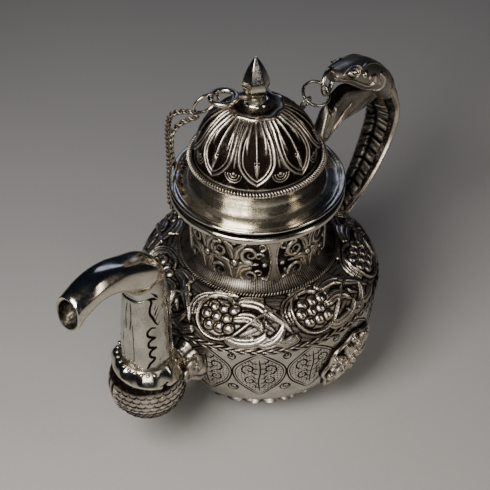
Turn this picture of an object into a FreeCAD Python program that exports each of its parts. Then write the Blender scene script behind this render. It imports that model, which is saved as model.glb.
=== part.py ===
"""A small chased silver pot: squat round body, chained lift-off lid, beast spout and dragon handle.

Millimetres. +Z is up, +X points to the spout, and the origin is the centre of the foot on the table.
Driving sizes live in the spreadsheet "Sizes"; every sub-part is one object of the document.
"""
import FreeCAD, Part
import math
import os
import Sketcher
from FreeCAD import Placement, Rotation, Vector

doc = FreeCAD.newDocument("chased_pot")
sheet = doc.addObject("Spreadsheet::Sheet", "Sizes")

DRIVING = {
    "wall": (1.2, "thickness of the raised sheet"),
    "foot_radius": (25.0, "scalloped foot at the table"),
    "foot_height": (5.2, "foot ring"),
    "bowl_base_radius": (17.5, "flat bottom of the bowl"),
    "bowl_base_height": (2.5, "flat bottom above the table"),
    "body_radius": (37.3, "widest radius, at the girdle"),
    "girdle_height": (36.3, "seam between bowl and shoulder"),
    "wire_radius": (0.62, "each of the two girdle wires"),
    "shoulder_radius": (24.8, "inner edge of the bulging shoulder"),
    "shoulder_height": (46.4, "top of the shoulder"),
    "neck_radius": (20.5, "outside of the neck"),
    "mouth_radius": (19.5, "bore of the neck"),
    "rim_radius": (26.4, "flange round the mouth"),
    "rim_under": (68.0, "underside of the mouth flange"),
    "rim_top": (70.4, "top of the mouth flange"),
    "seat_radius": (23.6, "raised seat that carries the lid"),
    "seat_top": (72.1, "level of the seat"),
    "lid_radius": (26.5, "flange of the lid"),
    "lid_top": (73.0, "top of the lid's rim"),
    "skirt_depth": (5.0, "locating skirt below the seat"),
    "skirt_gap": (0.3, "clearance between skirt and mouth"),
    "cove_radius": (20.4, "wall between flange and dome"),
    "dome_base": (81.4, "level of the milled ring under the dome"),
    "dome_radius": (18.4, "dome at its base"),
    "dome_rise": (18.3, "height of the full dome curve"),
    "ruff_radius": (8.3, "bright ring on the dome's top"),
    "stem_radius": (3.0, "stem under the bud"),
    "bud_radius": (4.2, "bud across its corners, halved"),
    "bud_base": (102.6, "underside of the bud"),
    "bud_waist": (106.2, "widest level of the bud"),
    "bud_tip": (114.6, "tip of the bud"),
    "loop_radius": (3.75, "loop soldered to the stem"),
    "loop_wire": (0.88, "its wire, halved"),
    "loop_offset": (9.3, "loop centre from the pot's axis"),
    "loop_level": (101.3, "level of the loop"),
    "link_radius": (3.9, "link that hangs in the loop"),
    "link_wire": (0.45, "its wire, halved"),
    "nose_radius": (3.9, "thick ring through the snout"),
    "nose_wire": (0.75, "its wire, halved"),
    "nose_x": (-34.3, "centre of the nose ring"),
    "nose_z": (88.8, "centre of the nose ring"),
    "ring_radius": (4.2, "thin ring in the nose ring"),
    "ring_wire": (0.5, "its wire, halved"),
    "chain_width": (2.0, "curb chain across"),
    "spout_x": (52.0, "axis of the spout's column"),
    "throat_height": (27.5, "centre of the scaled throat"),
    "throat_radius": (11.6, "scaled throat"),
    "bore_radius": (2.9, "passage through the spout"),
    "medallion_height": (20.0, "centre of the side medallions"),
    "medallion_radius": (11.5, "side medallions"),
    "medallion_relief": (2.4, "how far they stand proud"),
}


class Size:
    """A length that carries both its value and the spreadsheet expression that gives it."""

    def __init__(self, value, text):
        self.value = float(value)
        self.text = text

    def _with(self, other, sign, value):
        return Size(value, f"({self.text} {sign} {other.text})")

    def __add__(self, other):
        other = sized(other)
        return self._with(other, "+", self.value + other.value)

    def __sub__(self, other):
        other = sized(other)
        return self._with(other, "-", self.value - other.value)

    def __mul__(self, other):
        other = sized(other)
        return self._with(other, "*", self.value * other.value)

    def __truediv__(self, other):
        other = sized(other)
        return self._with(other, "/", self.value / other.value)

    def __neg__(self):
        return self * -1


def sized(value):
    """A plain number as a Size; a Size as it is."""
    return value if isinstance(value, Size) else Size(value, f"{float(value):g}")


def fill_sheet():
    """Writes the driving sizes into the sheet and returns them by name."""
    found = {}
    for row, (name, (value, note)) in enumerate(DRIVING.items(), start=1):
        sheet.set(f"A{row}", note)
        sheet.set(f"B{row}", f"{value:g}")
        sheet.setAlias(f"B{row}", name)
        found[name] = Size(value, f"Sizes.{name}")
    return found


D = fill_sheet()
doc.recompute()
V = {name: size.value for name, size in D.items()}
SPOUT_AXIS = V["spout_x"]
LOOP_TURN = math.radians(-50.0)  # the finial's loop points this way round from the spout
LOOP_WAY = Vector(math.cos(LOOP_TURN), math.sin(LOOP_TURN), 0)
LOOP_SIDE = Vector(-math.sin(LOOP_TURN), math.cos(LOOP_TURN), 0)

nodes = []


def keep(obj, label):
    """Names an object of the document as a sub-part."""
    obj.Label = label
    nodes.append(obj)
    return obj


def origin_plane(body, role):
    """One of a body's own origin planes or axes."""
    return next(f for f in body.Origin.OriginFeatures if f.Role == role)


def pin_point(sketch, geometry, end, x, z):
    """Holds one end of a sketch line or arc at two sizes from the origin."""
    for kind, size in (("DistanceX", x), ("DistanceY", z)):
        number = sketch.addConstraint(
            Sketcher.Constraint(kind, -1, 1, geometry, end, size.value)
        )
        sketch.setExpression(f"Constraints[{number}]", size.text)


def arc_between(start, end, radius):
    """The minor arc of that radius between two points, and which of its ends each point is.

    A sketch arc runs anticlockwise. A negative radius bulges out of an outline drawn anticlockwise.
    """
    half = end - start
    across = Vector(-half.y, half.x, 0).normalize()
    reach = math.sqrt(radius * radius - (half.Length / 2) ** 2)
    centre = (start + end) * 0.5 + across * math.copysign(reach, -radius)
    first = math.atan2(start.y - centre.y, start.x - centre.x)
    last = math.atan2(end.y - centre.y, end.x - centre.x)
    ends = (1, 2)
    if (last - first) % (2 * math.pi) > math.pi:
        first, last, ends = last, first, (2, 1)
    if last < first:
        last += 2 * math.pi
    circle = Part.Circle(centre, Vector(0, 0, 1), abs(radius))
    return Part.ArcOfCircle(circle, first, last), ends


def draw_outline(sketch, outline):
    """Closed outline of (x, z) corners; a third entry is the radius of the arc that leads there."""
    corners = [(sized(c[0]), sized(c[1])) for c in outline]
    points = [Vector(x.value, z.value, 0) for x, z in corners]
    for i, corner in enumerate(outline):
        before = points[i - 1]
        if len(corner) == 3:
            radius = sized(corner[2])
            arc, ends = arc_between(before, points[i], radius.value)
            number = sketch.addGeometry(arc)
            fixed = sketch.addConstraint(
                Sketcher.Constraint("Radius", number, abs(radius.value))
            )
            sketch.setExpression(f"Constraints[{fixed}]", f"abs({radius.text})")
        else:
            number = sketch.addGeometry(Part.LineSegment(before, points[i]))
            ends = (1, 2)
        pin_point(sketch, number, ends[0], *corners[i - 1])
        pin_point(sketch, number, ends[1], *corners[i])


def turned(label, outline):
    """A PartDesign body: the outline in the X-Z plane, turned once round the Z axis."""
    body = doc.addObject("PartDesign::Body", label)
    sketch = body.newObject("Sketcher::SketchObject", f"{label}_outline")
    sketch.AttachmentSupport = [(origin_plane(body, "XZ_Plane"), "")]
    sketch.MapMode = "FlatFace"
    draw_outline(sketch, outline)
    turn = body.newObject("PartDesign::Revolution", f"{label}_turn")
    turn.Profile = sketch
    turn.ReferenceAxis = (sketch, ["V_Axis"])
    turn.Angle = 360
    body.Tip = turn
    return keep(body, label)


def ring(label, major, minor, centre, axis):
    """A round wire ring: Part::Torus with its sizes from the sheet."""
    torus = doc.addObject("Part::Torus", label)
    torus.setExpression("Radius1", sized(major).text)
    torus.setExpression("Radius2", sized(minor).text)
    torus.Placement = Placement(Vector(*centre), Rotation(Vector(0, 0, 1), Vector(*axis)))
    return keep(torus, label)


def formed(label, shape):
    """A free shape worked out from the sheet's sizes."""
    feature = doc.addObject("Part::Feature", label)
    feature.Shape = shape
    return keep(feature, label)


def oval(centre, along, across, half_across, half_other):
    """An elliptical section, square to the direction it follows."""
    along = Vector(along).normalize()
    across = (across - along * along.dot(across)).normalize()
    other = along.cross(across)
    major, minor, first = half_across, half_other, across
    if minor > major:
        major, minor, first = half_other, half_across, other
    minor = min(minor, major * 0.999)
    curve = Part.Ellipse(centre + first * major, centre + along.cross(first) * minor, centre)
    return Part.Wire([curve.toShape()])


def tangents(points):
    """The direction of a centre line at each of its points."""
    last = len(points) - 1
    return [points[min(i + 1, last)] - points[max(i - 1, 0)] for i in range(last + 1)]


def limb(stations):
    """A smooth solid through (x, z, half width, half depth) stations in the middle plane."""
    points = [Vector(x, 0, z) for x, z, _, _ in stations]
    sections = [
        oval(point, way, Vector(0, 1, 0), width, depth)
        for point, way, (_, _, width, depth) in zip(points, tangents(points), stations)
    ]
    return Part.makeLoft(sections, True, False)


def plate(corners, half_width):
    """A flat slab in the plane of the handle and spout, half_width to each side of it."""
    points = [Vector(x, -half_width, z) for x, z in corners]
    face = Part.Face(Part.makePolygon(points + points[:1]))
    return face.extrude(Vector(0, 2 * half_width, 0))


def cord_run(points, radius):
    """A tube of straight runs joined by tangent arcs, through hand-set corner points."""
    edges, at = [], points[0]
    for before, corner, after in zip(points, points[1:], points[2:]):
        into, out = (before - corner).normalize(), (after - corner).normalize()
        half_turn = (math.pi - into.getAngle(out)) / 2
        cut = 0.45 * min((before - corner).Length, (after - corner).Length)
        start, end = corner + into * cut, corner + out * cut
        radius_of_turn = cut / math.tan(half_turn)
        middle = corner + (into + out).normalize() * radius_of_turn * (1 / math.cos(half_turn) - 1)
        edges += [Part.makeLine(at, start), Part.Arc(start, middle, end).toShape()]
        at = end
    edges.append(Part.makeLine(at, points[-1]))
    spine = Part.Wire(edges)
    section = Part.Wire([Part.makeCircle(radius, points[0], points[1] - points[0])])
    tube = spine.makePipeShell([section], True, False)
    share = tube.Volume / (math.pi * radius * radius * spine.Length)
    assert abs(share - 1) < 0.01, f"a cord's volume is {share:.3f} of its length's"
    return tube


# ---------------------------------------------------------------- body of the pot
BOWL_SIDE = (35.3, 16.9)  # where the bowl's side turns in
BOWL_TURN = (28.98, 6.2)  # where it turns under


def bowl_outline(proud):
    """The bowl's outer wall, from its bottom centre to the girdle, standing proud of the sheet."""
    proud = sized(proud)
    return [
        (0, D["bowl_base_height"] - proud),
        (D["bowl_base_radius"], D["bowl_base_height"] - proud),
        (sized(BOWL_TURN[0]) + proud * 0.6, sized(BOWL_TURN[1]) - proud * 0.8, -14.6),
        (sized(BOWL_SIDE[0]) + proud, BOWL_SIDE[1], -21.9),
        (D["body_radius"] + proud, D["girdle_height"], -64),
    ]


def make_bowl():
    """The shell of the bowl in three bands, the upper one with the port that feeds the spout."""
    inner_side = (BOWL_SIDE[0] - V["wall"], BOWL_SIDE[1] + 0.3)
    inner_turn = (BOWL_TURN[0] - 0.75, BOWL_TURN[1] + 1.0)
    bottom, corner, turn_point, side_point, top = bowl_outline(0)
    turned("bowl_floor", [
        bottom, corner, turn_point, inner_turn,
        (D["bowl_base_radius"], D["bowl_base_height"] + D["wall"], 13.4),
        (0, D["bowl_base_height"] + D["wall"]),
    ])
    turned("bowl_lower", [turn_point[:2], side_point, inner_side, inner_turn + (20.7,)])
    body = turned("bowl", [
        side_point[:2], top, (D["body_radius"] - D["wall"], D["girdle_height"]), inner_side + (64,),
    ])
    doc.recompute()
    whole = body.Shape.Volume
    sketch = body.newObject("Sketcher::SketchObject", "spout_port")
    sketch.AttachmentSupport = [(origin_plane(body, "YZ_Plane"), "")]
    sketch.MapMode = "FlatFace"
    sketch.addGeometry(Part.Circle(Vector(0, PORT_HEIGHT, 0), Vector(0, 0, 1), 4.0))
    held = sketch.addConstraint(Sketcher.Constraint("Radius", 0, 4.0))
    sketch.setExpression(f"Constraints[{held}]", "Sizes.bore_radius + 1.1")
    sketch.addConstraint(Sketcher.Constraint("PointOnObject", 0, 3, -2))
    sketch.addConstraint(Sketcher.Constraint("DistanceY", -1, 1, 0, 3, PORT_HEIGHT))
    port = body.newObject("PartDesign::Pocket", "spout_port_cut")
    port.Profile = sketch
    port.Length = 60
    port.Reversed = True
    body.Tip = port
    doc.recompute()
    assert body.Shape.Volume < whole - 10, "the spout port cut nothing"


PORT_HEIGHT = 25.0
make_bowl()
turned("foot_ring", [
    (D["foot_radius"] - 5.5, 0),
    (D["foot_radius"], 0),
    (D["foot_radius"] + 0.2, 1.0),
    (D["foot_radius"] - 2.4, D["foot_height"] - 1.6, 6.0),
    (D["foot_radius"] - 2.6, D["foot_height"] - 1.3),
    (D["foot_radius"] - 5.5, D["bowl_base_height"]),
])
turned("shoulder", [
    (D["body_radius"], D["girdle_height"]),
    (D["shoulder_radius"], D["shoulder_height"], -11.8),
    (D["neck_radius"] - 0.4, D["shoulder_height"] + 0.2),
    (D["neck_radius"] - 0.4, D["shoulder_height"] - D["wall"] + 0.2),
    (D["shoulder_radius"], D["shoulder_height"] - D["wall"]),
    (D["body_radius"] - D["wall"], D["girdle_height"], 10.6),
])
for side, name in ((1, "upper"), (-1, "lower")):
    ring(f"girdle_wire_{name}", D["body_radius"] + 0.4, D["wire_radius"],
         (0, 0, V["girdle_height"] + side * (V["wire_radius"] + 0.01)), (0, 0, 1))
turned("neck", [
    (D["mouth_radius"], D["shoulder_height"] + 0.2),
    (D["neck_radius"] + 0.2, D["shoulder_height"] + 0.2),
    (D["neck_radius"] - 0.2, D["rim_under"] - 1.5),
    (D["mouth_radius"], D["rim_under"] - 1.5),
])
turned("neck_cove", [
    (D["neck_radius"] + 0.2, D["shoulder_height"] + 0.2),
    (D["shoulder_radius"] - 0.9, D["shoulder_height"] + 0.2),
    (D["shoulder_radius"] - 0.9, D["shoulder_height"] + 1.0),
    (D["neck_radius"] + 0.1, D["shoulder_height"] + 4.4, 4.4),
])
ring("neck_rope", D["shoulder_radius"] - 0.2, 0.75, (0, 0, V["shoulder_height"] + 0.85), (0, 0, 1))
turned("neck_rim", [
    (D["mouth_radius"], D["rim_under"] - 1.5),
    (D["neck_radius"], D["rim_under"] - 1.5),
    (D["neck_radius"] + 1.4, D["rim_under"], 1.6),
    (D["rim_radius"] - 0.5, D["rim_under"]),
    (D["rim_radius"], D["rim_under"] + 0.5, -0.6),
    (D["rim_radius"], D["rim_top"] - 0.5),
    (D["rim_radius"] - 0.5, D["rim_top"], -0.6),
    (D["seat_radius"], D["rim_top"]),
    (D["seat_radius"], D["seat_top"]),
    (D["mouth_radius"], D["seat_top"]),
])


def make_medallions():
    """Raised boss on each side: a disc's worth of a skin that stands proud of the bowl."""
    skin = turned("medallion_skin", bowl_outline(D["medallion_relief"]) + [(0, D["girdle_height"])])
    core = turned("bowl_core", bowl_outline(0) + [(0, D["girdle_height"])])
    doc.recompute()
    nodes.remove(skin)
    nodes.remove(core)
    for side, name in ((1, "left"), (-1, "right")):
        drum = doc.addObject("Part::Cylinder", f"medallion_drum_{name}")
        drum.setExpression("Radius", "Sizes.medallion_radius")
        drum.Height = 60
        drum.Placement = Placement(Vector(0, 0, V["medallion_height"]),
                                   Rotation(Vector(0, 0, 1), Vector(0, side, 0)))
        disc = doc.addObject("Part::MultiCommon", f"medallion_slice_{name}")
        disc.Shapes = [drum, skin]
        boss = doc.addObject("Part::Cut", f"medallion_{name}")
        boss.Base = disc
        boss.Tool = core
        keep(boss, f"medallion_{name}")


make_medallions()

# ---------------------------------------------------------------- spout
THROAT = Vector(SPOUT_AXIS - 0.5, 0, V["throat_height"])
COLUMN = [
    (SPOUT_AXIS - 1.0, V["throat_height"] + 5.0, 7.0, 7.0),
    (SPOUT_AXIS - 1.0, 38.0, 6.6, 7.6),
    (SPOUT_AXIS - 1.3, 48.0, 6.2, 7.5),
    (SPOUT_AXIS - 2.0, 57.0, 5.9, 7.2),
    (SPOUT_AXIS - 1.9, 64.0, 5.5, 6.3),
    (SPOUT_AXIS + 0.4, 69.0, 5.2, 5.2),
    (SPOUT_AXIS + 4.6, 73.2, 5.0, 4.8),
    (SPOUT_AXIS + 10.2, 76.0, 4.8, 4.4),
    (SPOUT_AXIS + 16.4, 76.9, 4.6, 4.2),
    (SPOUT_AXIS + 22.4, 75.8, 4.4, 4.0),
    (SPOUT_AXIS + 27.0, 73.6, 4.2, 3.8),
]
SPLIT = 4  # the fluted column ends and the polished trunk begins at this station


def bore_tool():
    """The passage: from the bowl's port across the throat, up the column and out at the trunk's mouth."""
    radius = V["bore_radius"]
    port = Part.makeCylinder(radius, SPOUT_AXIS - 32.5, Vector(32.0, 0, PORT_HEIGHT), Vector(1, 0, 0))
    elbow = Part.makeSphere(radius, Vector(SPOUT_AXIS - 0.5, 0, PORT_HEIGHT))
    inner = [(x, z, w * 0.6, d * 0.6) for x, z, w, d in COLUMN[1:]]
    x, z, w, d = inner[-1]
    rise = [(SPOUT_AXIS - 0.5, PORT_HEIGHT, radius, radius * 0.98)]
    return port.fuse(elbow).fuse(limb(rise + inner + [(x + 5.0, z - 2.6, w, d)]))


def parting_box():
    """The space on the trunk's side of the slanting seam between column and trunk."""
    x, z = COLUMN[SPLIT][:2]
    box = Part.makeBox(60, 40, 40, Vector(-9, -20, 0))
    box.rotate(Vector(0, 0, 0), Vector(0, 1, 0), 22.0)
    box.translate(Vector(x, 0, z))
    return box


def collar_shape():
    """A waisted collar round the passage, between the bowl's wall and the throat."""
    start = V["body_radius"] - 2.8
    corners = [(start, 0), (start, 9.0), (start + 2.4, 8.6), (start + 5.0, 6.8),
               (start + 8.4, 7.6), (start + 8.4, 0)]
    points = [Vector(x, 0, PORT_HEIGHT + r) for x, r in corners]
    face = Part.Face(Part.makePolygon(points + points[:1]))
    return face.revolve(Vector(0, 0, PORT_HEIGHT), Vector(1, 0, 0), 360)


def make_spout():
    """Collar, scaled throat, open mouth, column, fin and trunk, all opened by the passage."""
    bore = bore_tool()
    collar = collar_shape()
    formed("spout_collar", collar.cut(bore).cut(doc.getObject("bowl_core").Shape))
    ball = Part.makeSphere(V["throat_radius"], THROAT)
    ball = ball.cut(collar)
    stem, above = limb(COLUMN), parting_box()
    column = stem.cut(above)
    well = Part.makeCone(7.4, 9.4, 5.2, THROAT + Vector(0, 0, 6.6))
    formed("spout_throat", ball.cut(well).cut(column).cut(bore))
    lip = Part.makeTorus(9.3, 1.3, THROAT + Vector(0, 0, 8.6))
    formed("spout_lip", lip.cut(column))
    formed("spout_column", column.cut(bore))
    slope = 40.0  # the trunk's mouth is cut this far from square
    trunk = stem.common(above)
    x, z = COLUMN[-1][:2]
    cutter = Part.makeBox(20, 20, 24, Vector(0, -10, -12))
    cutter.rotate(Vector(0, 0, 0), Vector(0, 1, 0), slope - 28.0)
    cutter.translate(Vector(x - 0.6, 0, z))
    formed("spout_trunk", trunk.cut(bore).cut(cutter))
    fin = plate([
        (SPOUT_AXIS - 5.0, 38.0), (SPOUT_AXIS - 10.8, 38.5), (SPOUT_AXIS - 10.0, 46.0),
        (SPOUT_AXIS - 11.0, 54.0), (SPOUT_AXIS - 10.6, 62.0), (SPOUT_AXIS - 6.4, 69.0),
        (SPOUT_AXIS - 5.0, 62.0),
    ], 1.5)
    fin = max(fin.cut(stem).cut(lip).Solids, key=lambda solid: solid.Volume)
    formed("spout_fin", fin)
    for side, name in ((1, "left"), (-1, "right")):
        curl = Part.makeTorus(2.3, 1.1, Vector(V["body_radius"] + 4.6, side * 8.4, 31.5), Vector(0, 1, 0))
        formed(f"spout_curl_{name}", curl.cut(ball).cut(collar))


make_spout()

# ---------------------------------------------------------------- handle
STRAP = [
    (-36.0, 29.6, 2.7, 2.4),
    (-43.0, 32.2, 2.9, 2.3),
    (-50.4, 37.2, 3.9, 2.3),
    (-57.8, 44.4, 4.9, 2.4),
    (-64.0, 54.0, 5.7, 2.6),
    (-66.0, 63.6, 6.0, 2.9),
    (-63.0, 71.6, 5.9, 3.6),
]
HEAD = [
    (-63.0, 71.6, 5.9, 3.6),
    (-57.8, 78.6, 5.8, 4.6),
    (-51.2, 83.8, 5.3, 4.7),
    (-44.6, 87.2, 4.2, 3.5),
    (-39.2, 88.9, 2.9, 2.0),
    (-36.6, 89.2, 2.2, 1.5),
]


def make_handle():
    """Strap with a scuted belly, dragon's head, jaw that runs on to the mouth flange, eyes and ears."""
    bowl = doc.getObject("bowl").Shape
    strap = limb(STRAP)
    belly = limb([(x + 1.7, z + (0.5 if z < 60 else -1.2), w * 0.72, d * 0.8)
                  for x, z, w, d in STRAP[1:]])
    formed("handle_strap", strap.cut(doc.getObject("bowl_core").Shape))
    formed("handle_belly", belly.cut(strap))
    boss = Part.makeSphere(5.0, Vector(-37.0, 0, 29.6))
    formed("handle_boss", boss.cut(doc.getObject("bowl_core").Shape).cut(bowl).cut(strap).cut(belly))
    nose = doc.getObject("nose_ring").Shape
    head = limb(HEAD).cut(nose)
    formed("handle_head", head.cut(belly))
    jaw = plate([
        (-26.2, 68.2), (-26.2, 70.2), (-27.6, 70.8), (-29.4, 73.2), (-32.4, 78.2),
        (-36.0, 82.8), (-39.8, 84.0), (-46.0, 81.6), (-52.0, 78.4), (-58.4, 74.4), (-60.0, 70.6),
        (-52.0, 69.6), (-40.0, 70.4), (-31.0, 68.0),
    ], 2.6)
    rim = doc.getObject("neck_rim").Shape
    formed("handle_jaw", jaw.cut(head).cut(strap).cut(belly).cut(rim))
    for side, name in ((1, "left"), (-1, "right")):
        eye = Part.makeSphere(1.7, Vector(-47.6, side * 4.1, 86.4))
        root, way = Vector(-55.6, side * 4.6, 81.6), Vector(-0.75, side * 0.35, -0.45)
        ear = Part.makeCone(2.2, 0.9, 8.0, root, way)
        formed(f"handle_eye_{name}", eye.cut(head))
        formed(f"handle_ear_{name}", ear.cut(head).cut(strap))


NOSE_TURN = math.radians(13.0)  # the nose ring stands this far round from the handle's plane
NOSE_WAY = Vector(-math.sin(NOSE_TURN), math.cos(NOSE_TURN), 0)
nose_centre = Vector(V["nose_x"], 0, V["nose_z"])
ring("nose_ring", D["nose_radius"], D["nose_wire"], nose_centre, NOSE_WAY)
doc.recompute()
make_handle()

# ---------------------------------------------------------------- lid
turned("lid_flange", [
    (D["cove_radius"] - 2.0, D["seat_top"]),
    (D["lid_radius"] - 0.2, D["seat_top"]),
    (D["lid_radius"], D["seat_top"] + 0.2),
    (D["lid_radius"], D["lid_top"] - 0.2),
    (D["lid_radius"] - 0.3, D["lid_top"], -0.4),
    (D["lid_radius"] - 1.2, D["lid_top"]),
    (D["lid_radius"] - 2.4, D["lid_top"] - 0.35, -3),
    (D["cove_radius"] + 0.6, D["lid_top"] + 0.3, 24),
    (D["cove_radius"] - 2.0, D["lid_top"] + 0.3),
])
turned("lid_skirt", [
    (D["mouth_radius"] - D["skirt_gap"] - 1.0, D["seat_top"] - D["skirt_depth"]),
    (D["mouth_radius"] - D["skirt_gap"] - 0.3, D["seat_top"] - D["skirt_depth"]),
    (D["mouth_radius"] - D["skirt_gap"], D["seat_top"] - D["skirt_depth"] + 0.8),
    (D["mouth_radius"] - D["skirt_gap"], D["seat_top"]),
    (D["mouth_radius"] - D["skirt_gap"] - 1.0, D["seat_top"]),
])
turned("lid_wall", [
    (D["cove_radius"] - 1.0, D["lid_top"] + 0.3),
    (D["cove_radius"] + 0.3, D["lid_top"] + 0.3),
    (D["cove_radius"] - 0.2, D["lid_top"] + 4.0, 12),
    (D["cove_radius"] + 0.1, D["dome_base"] - 0.6, 12),
    (D["cove_radius"] - 1.0, D["dome_base"] - 0.6),
])
ring("lid_rope", D["cove_radius"] - 0.5, 0.9, (0, 0, V["dome_base"]), (0, 0, 1))


def make_dome():
    """A round dome turned about the axis, open underneath."""
    outer = [(18.4, 0.0, 0), (16.9, 0.4, -18.4), (12.5, 0.73, -18.4), (6.0, 0.945, -18.4)]
    inner = [(4.9, 0.872, 0), (11.5, 0.668, 17.1), (15.7, 0.36, 17.1), (17.2, 0.0, 17.1)]
    corners = []
    for radius, share, arc in outer + inner:
        where = (D["dome_radius"] * (radius / 18.4), D["dome_base"] + D["dome_rise"] * share)
        corners.append(where + ((arc,) if arc else ()))
    turned("lid_dome", corners)


make_dome()
turned("lid_ruff", [
    (D["ruff_radius"] - 4.6, D["dome_base"] + 16.3),
    (D["ruff_radius"] - 0.6, D["dome_base"] + 15.6),
    (D["ruff_radius"], D["dome_base"] + 16.6, -0.9),
    (D["ruff_radius"] - 2.0, D["dome_base"] + 17.6, -3.0),
    (D["ruff_radius"] - 4.6, D["dome_base"] + 18.0),
])
turned("finial_collar", [
    (0, D["dome_base"] + 16.3),
    (D["ruff_radius"] - 4.6, D["dome_base"] + 16.3),
    (D["ruff_radius"] - 4.6, D["dome_base"] + 17.9),
    (D["stem_radius"] + 0.9, D["dome_base"] + 18.2),
    (D["stem_radius"] + 0.9, D["dome_base"] + 19.0, -0.6),
    (D["stem_radius"], D["dome_base"] + 19.4),
    (0, D["dome_base"] + 19.4),
])
turned("finial_stem", [
    (0, D["dome_base"] + 19.4),
    (D["stem_radius"], D["dome_base"] + 19.4),
    (D["stem_radius"] - 0.2, D["bud_base"] - 0.6, 3.0),
    (D["stem_radius"], D["bud_base"]),
    (0, D["bud_base"]),
])
turned("lid_washer", [
    (0, D["dome_base"] + 14.9),
    (4.4, D["dome_base"] + 14.9),
    (4.4, D["dome_base"] + 15.9),
    (1.4, D["dome_base"] + 16.3),
    (0, D["dome_base"] + 16.3),
])


def make_bud():
    """Six-sided bud: three rings of corners, ruled together."""
    def hexagon(radius, level):
        corners = [Vector(radius * math.cos(math.radians(60 * i + 20)),
                          radius * math.sin(math.radians(60 * i + 20)), level) for i in range(6)]
        return Part.makePolygon(corners + corners[:1])

    rings = [hexagon(V["stem_radius"], V["bud_base"]),
             hexagon(V["bud_radius"], V["bud_waist"]),
             hexagon(V["bud_radius"] * 0.62, V["bud_waist"] + 4.2),
             hexagon(0.3, V["bud_tip"])]
    formed("finial_bud", Part.makeLoft(rings, True, True))


make_bud()
loop_centre = LOOP_WAY * V["loop_offset"] + Vector(0, 0, V["loop_level"])
ring("finial_loop", D["loop_radius"], D["loop_wire"], loop_centre, (0, 0, 1))
doc.recompute()
solder = Part.makeCylinder(0.8, 3.0, LOOP_WAY * 2.2 + Vector(0, 0, V["loop_level"]), LOOP_WAY)
for solid in ("finial_stem", "finial_collar"):
    solder = solder.cut(doc.getObject(solid).Shape)
formed("finial_solder", solder)

# ---------------------------------------------------------------- loose links
# The link hangs in the loop and leans on the dome; it is turned a little about its own length.
link_top = loop_centre + LOOP_WAY * V["loop_radius"]
lean = math.radians(36.0)
link_way = LOOP_WAY * math.sin(lean) - Vector(0, 0, math.cos(lean))
hang = V["loop_wire"] + V["link_wire"] + 0.3
link_centre = link_top + link_way * (V["link_radius"] - hang)
link_tilt = math.radians(36.0)
link_normal = LOOP_SIDE * math.cos(link_tilt) - link_way.cross(LOOP_SIDE) * math.sin(link_tilt)
ring("finial_link", D["link_radius"], D["link_wire"], link_centre, link_normal)

ring_share = math.radians(-5.0)  # where on the nose ring the thin ring hangs
nose_out = Vector(math.cos(NOSE_TURN), math.sin(NOSE_TURN), 0)
ring_top = nose_centre + (nose_out * math.cos(ring_share) + Vector(0, 0, 1) * math.sin(ring_share)) \
    * V["nose_radius"]
ring_way = Vector(1.0, -0.1, -0.1).normalize()
ring_centre = ring_top + ring_way * (V["ring_radius"] - V["nose_wire"] - V["ring_wire"] - 0.08)
ring_tilt = math.radians(30.0)  # lean of the thin ring off level
ring_side = ring_way.cross(Vector(0, 0, 1)).normalize()
ring_normal = ring_side.cross(ring_way) * math.cos(ring_tilt) - ring_side * math.sin(ring_tilt)
ring("handle_ring", D["ring_radius"], D["ring_wire"], ring_centre, ring_normal)
tail_top = ring_centre + ring_way * V["ring_radius"]
tail_way = Vector(0.05, -0.3, -0.95).normalize()
tail_radius, tail_wire = 2.2, 0.4
tail_centre = tail_top + tail_way * (tail_radius - V["ring_wire"] - tail_wire - 0.08)
tail_normal = tail_way.cross(ring_normal.cross(ring_way).cross(tail_way))
ring("handle_link", tail_radius, tail_wire, tail_centre, tail_normal)


# ---------------------------------------------------------------- chain
def by_loop(out, side, level):
    """A point that far along the loop's direction, that far across it, and at that height."""
    return LOOP_WAY * out + LOOP_SIDE * side + Vector(0, 0, level)


def around(bearing, radius, level):
    """A point at that bearing from the spout in degrees, distance from the axis, and height."""
    turn = math.radians(bearing)
    return Vector(radius * math.cos(turn), radius * math.sin(turn), level)


# One chain, doubled: both ends hang in the finial's link and its bight in the handle's link.
INNER_RUN = [
    by_loop(17.5, 0.9, 95.2), by_loop(24.0, 1.3, 93.4), by_loop(25.4, 1.9, 84.6),
    by_loop(24.2, 0.0, 74.6), by_loop(22.0, -8.6, 74.1), around(-84, 23.6, 74.0),
    around(-106, 23.6, 74.0), around(-128, 23.6, 74.0), around(-148, 23.7, 74.1),
    around(-163, 25.2, 76.6), Vector(-23.0, -1.7, 83.6),
]
OUTER_RUN = [
    by_loop(17.5, -1.0, 95.5), by_loop(24.2, -2.2, 96.0), by_loop(26.5, -5.0, 88.0),
    by_loop(26.7, -8.2, 74.5), by_loop(27.6, -10.6, 60.0), around(-74, 30.4, 49.4),
    around(-92, 29.6, 48.0), around(-112, 28.9, 47.8), around(-132, 28.9, 48.8),
    around(-148, 29.8, 55.5), around(-155, 30.2, 66.0), around(-164, 29.6, 76.0),
    Vector(-24.1, -1.9, 83.8),
]
formed("chain_inner", cord_run(INNER_RUN, V["chain_width"] / 2))
formed("chain_outer", cord_run(OUTER_RUN, V["chain_width"] / 2))


def save():
    """Recomputes, checks and exports every sub-part."""
    doc.recompute()
    os.makedirs("parts", exist_ok=True)
    for obj in nodes:
        assert not {"Invalid", "Error"} & set(obj.State), f"{obj.Label}: {obj.State}"
        shape = obj.Shape
        assert not shape.isNull() and shape.isValid(), f"{obj.Label} has no valid shape"
        assert len(shape.Solids) == 1, f"{obj.Label} has {len(shape.Solids)} solids"
        shape.exportStep(f"parts/{obj.Label}.step")


save()
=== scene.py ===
"""A small chased silver pot with a chained lid, a beast spout and a dragon handle, dressed for rendering.

Shapes are worked out in millimetres from the CAD frame and written to the meshes in metres.
"""
import logging
import math
from dataclasses import dataclass, field
from enum import Enum

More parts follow.
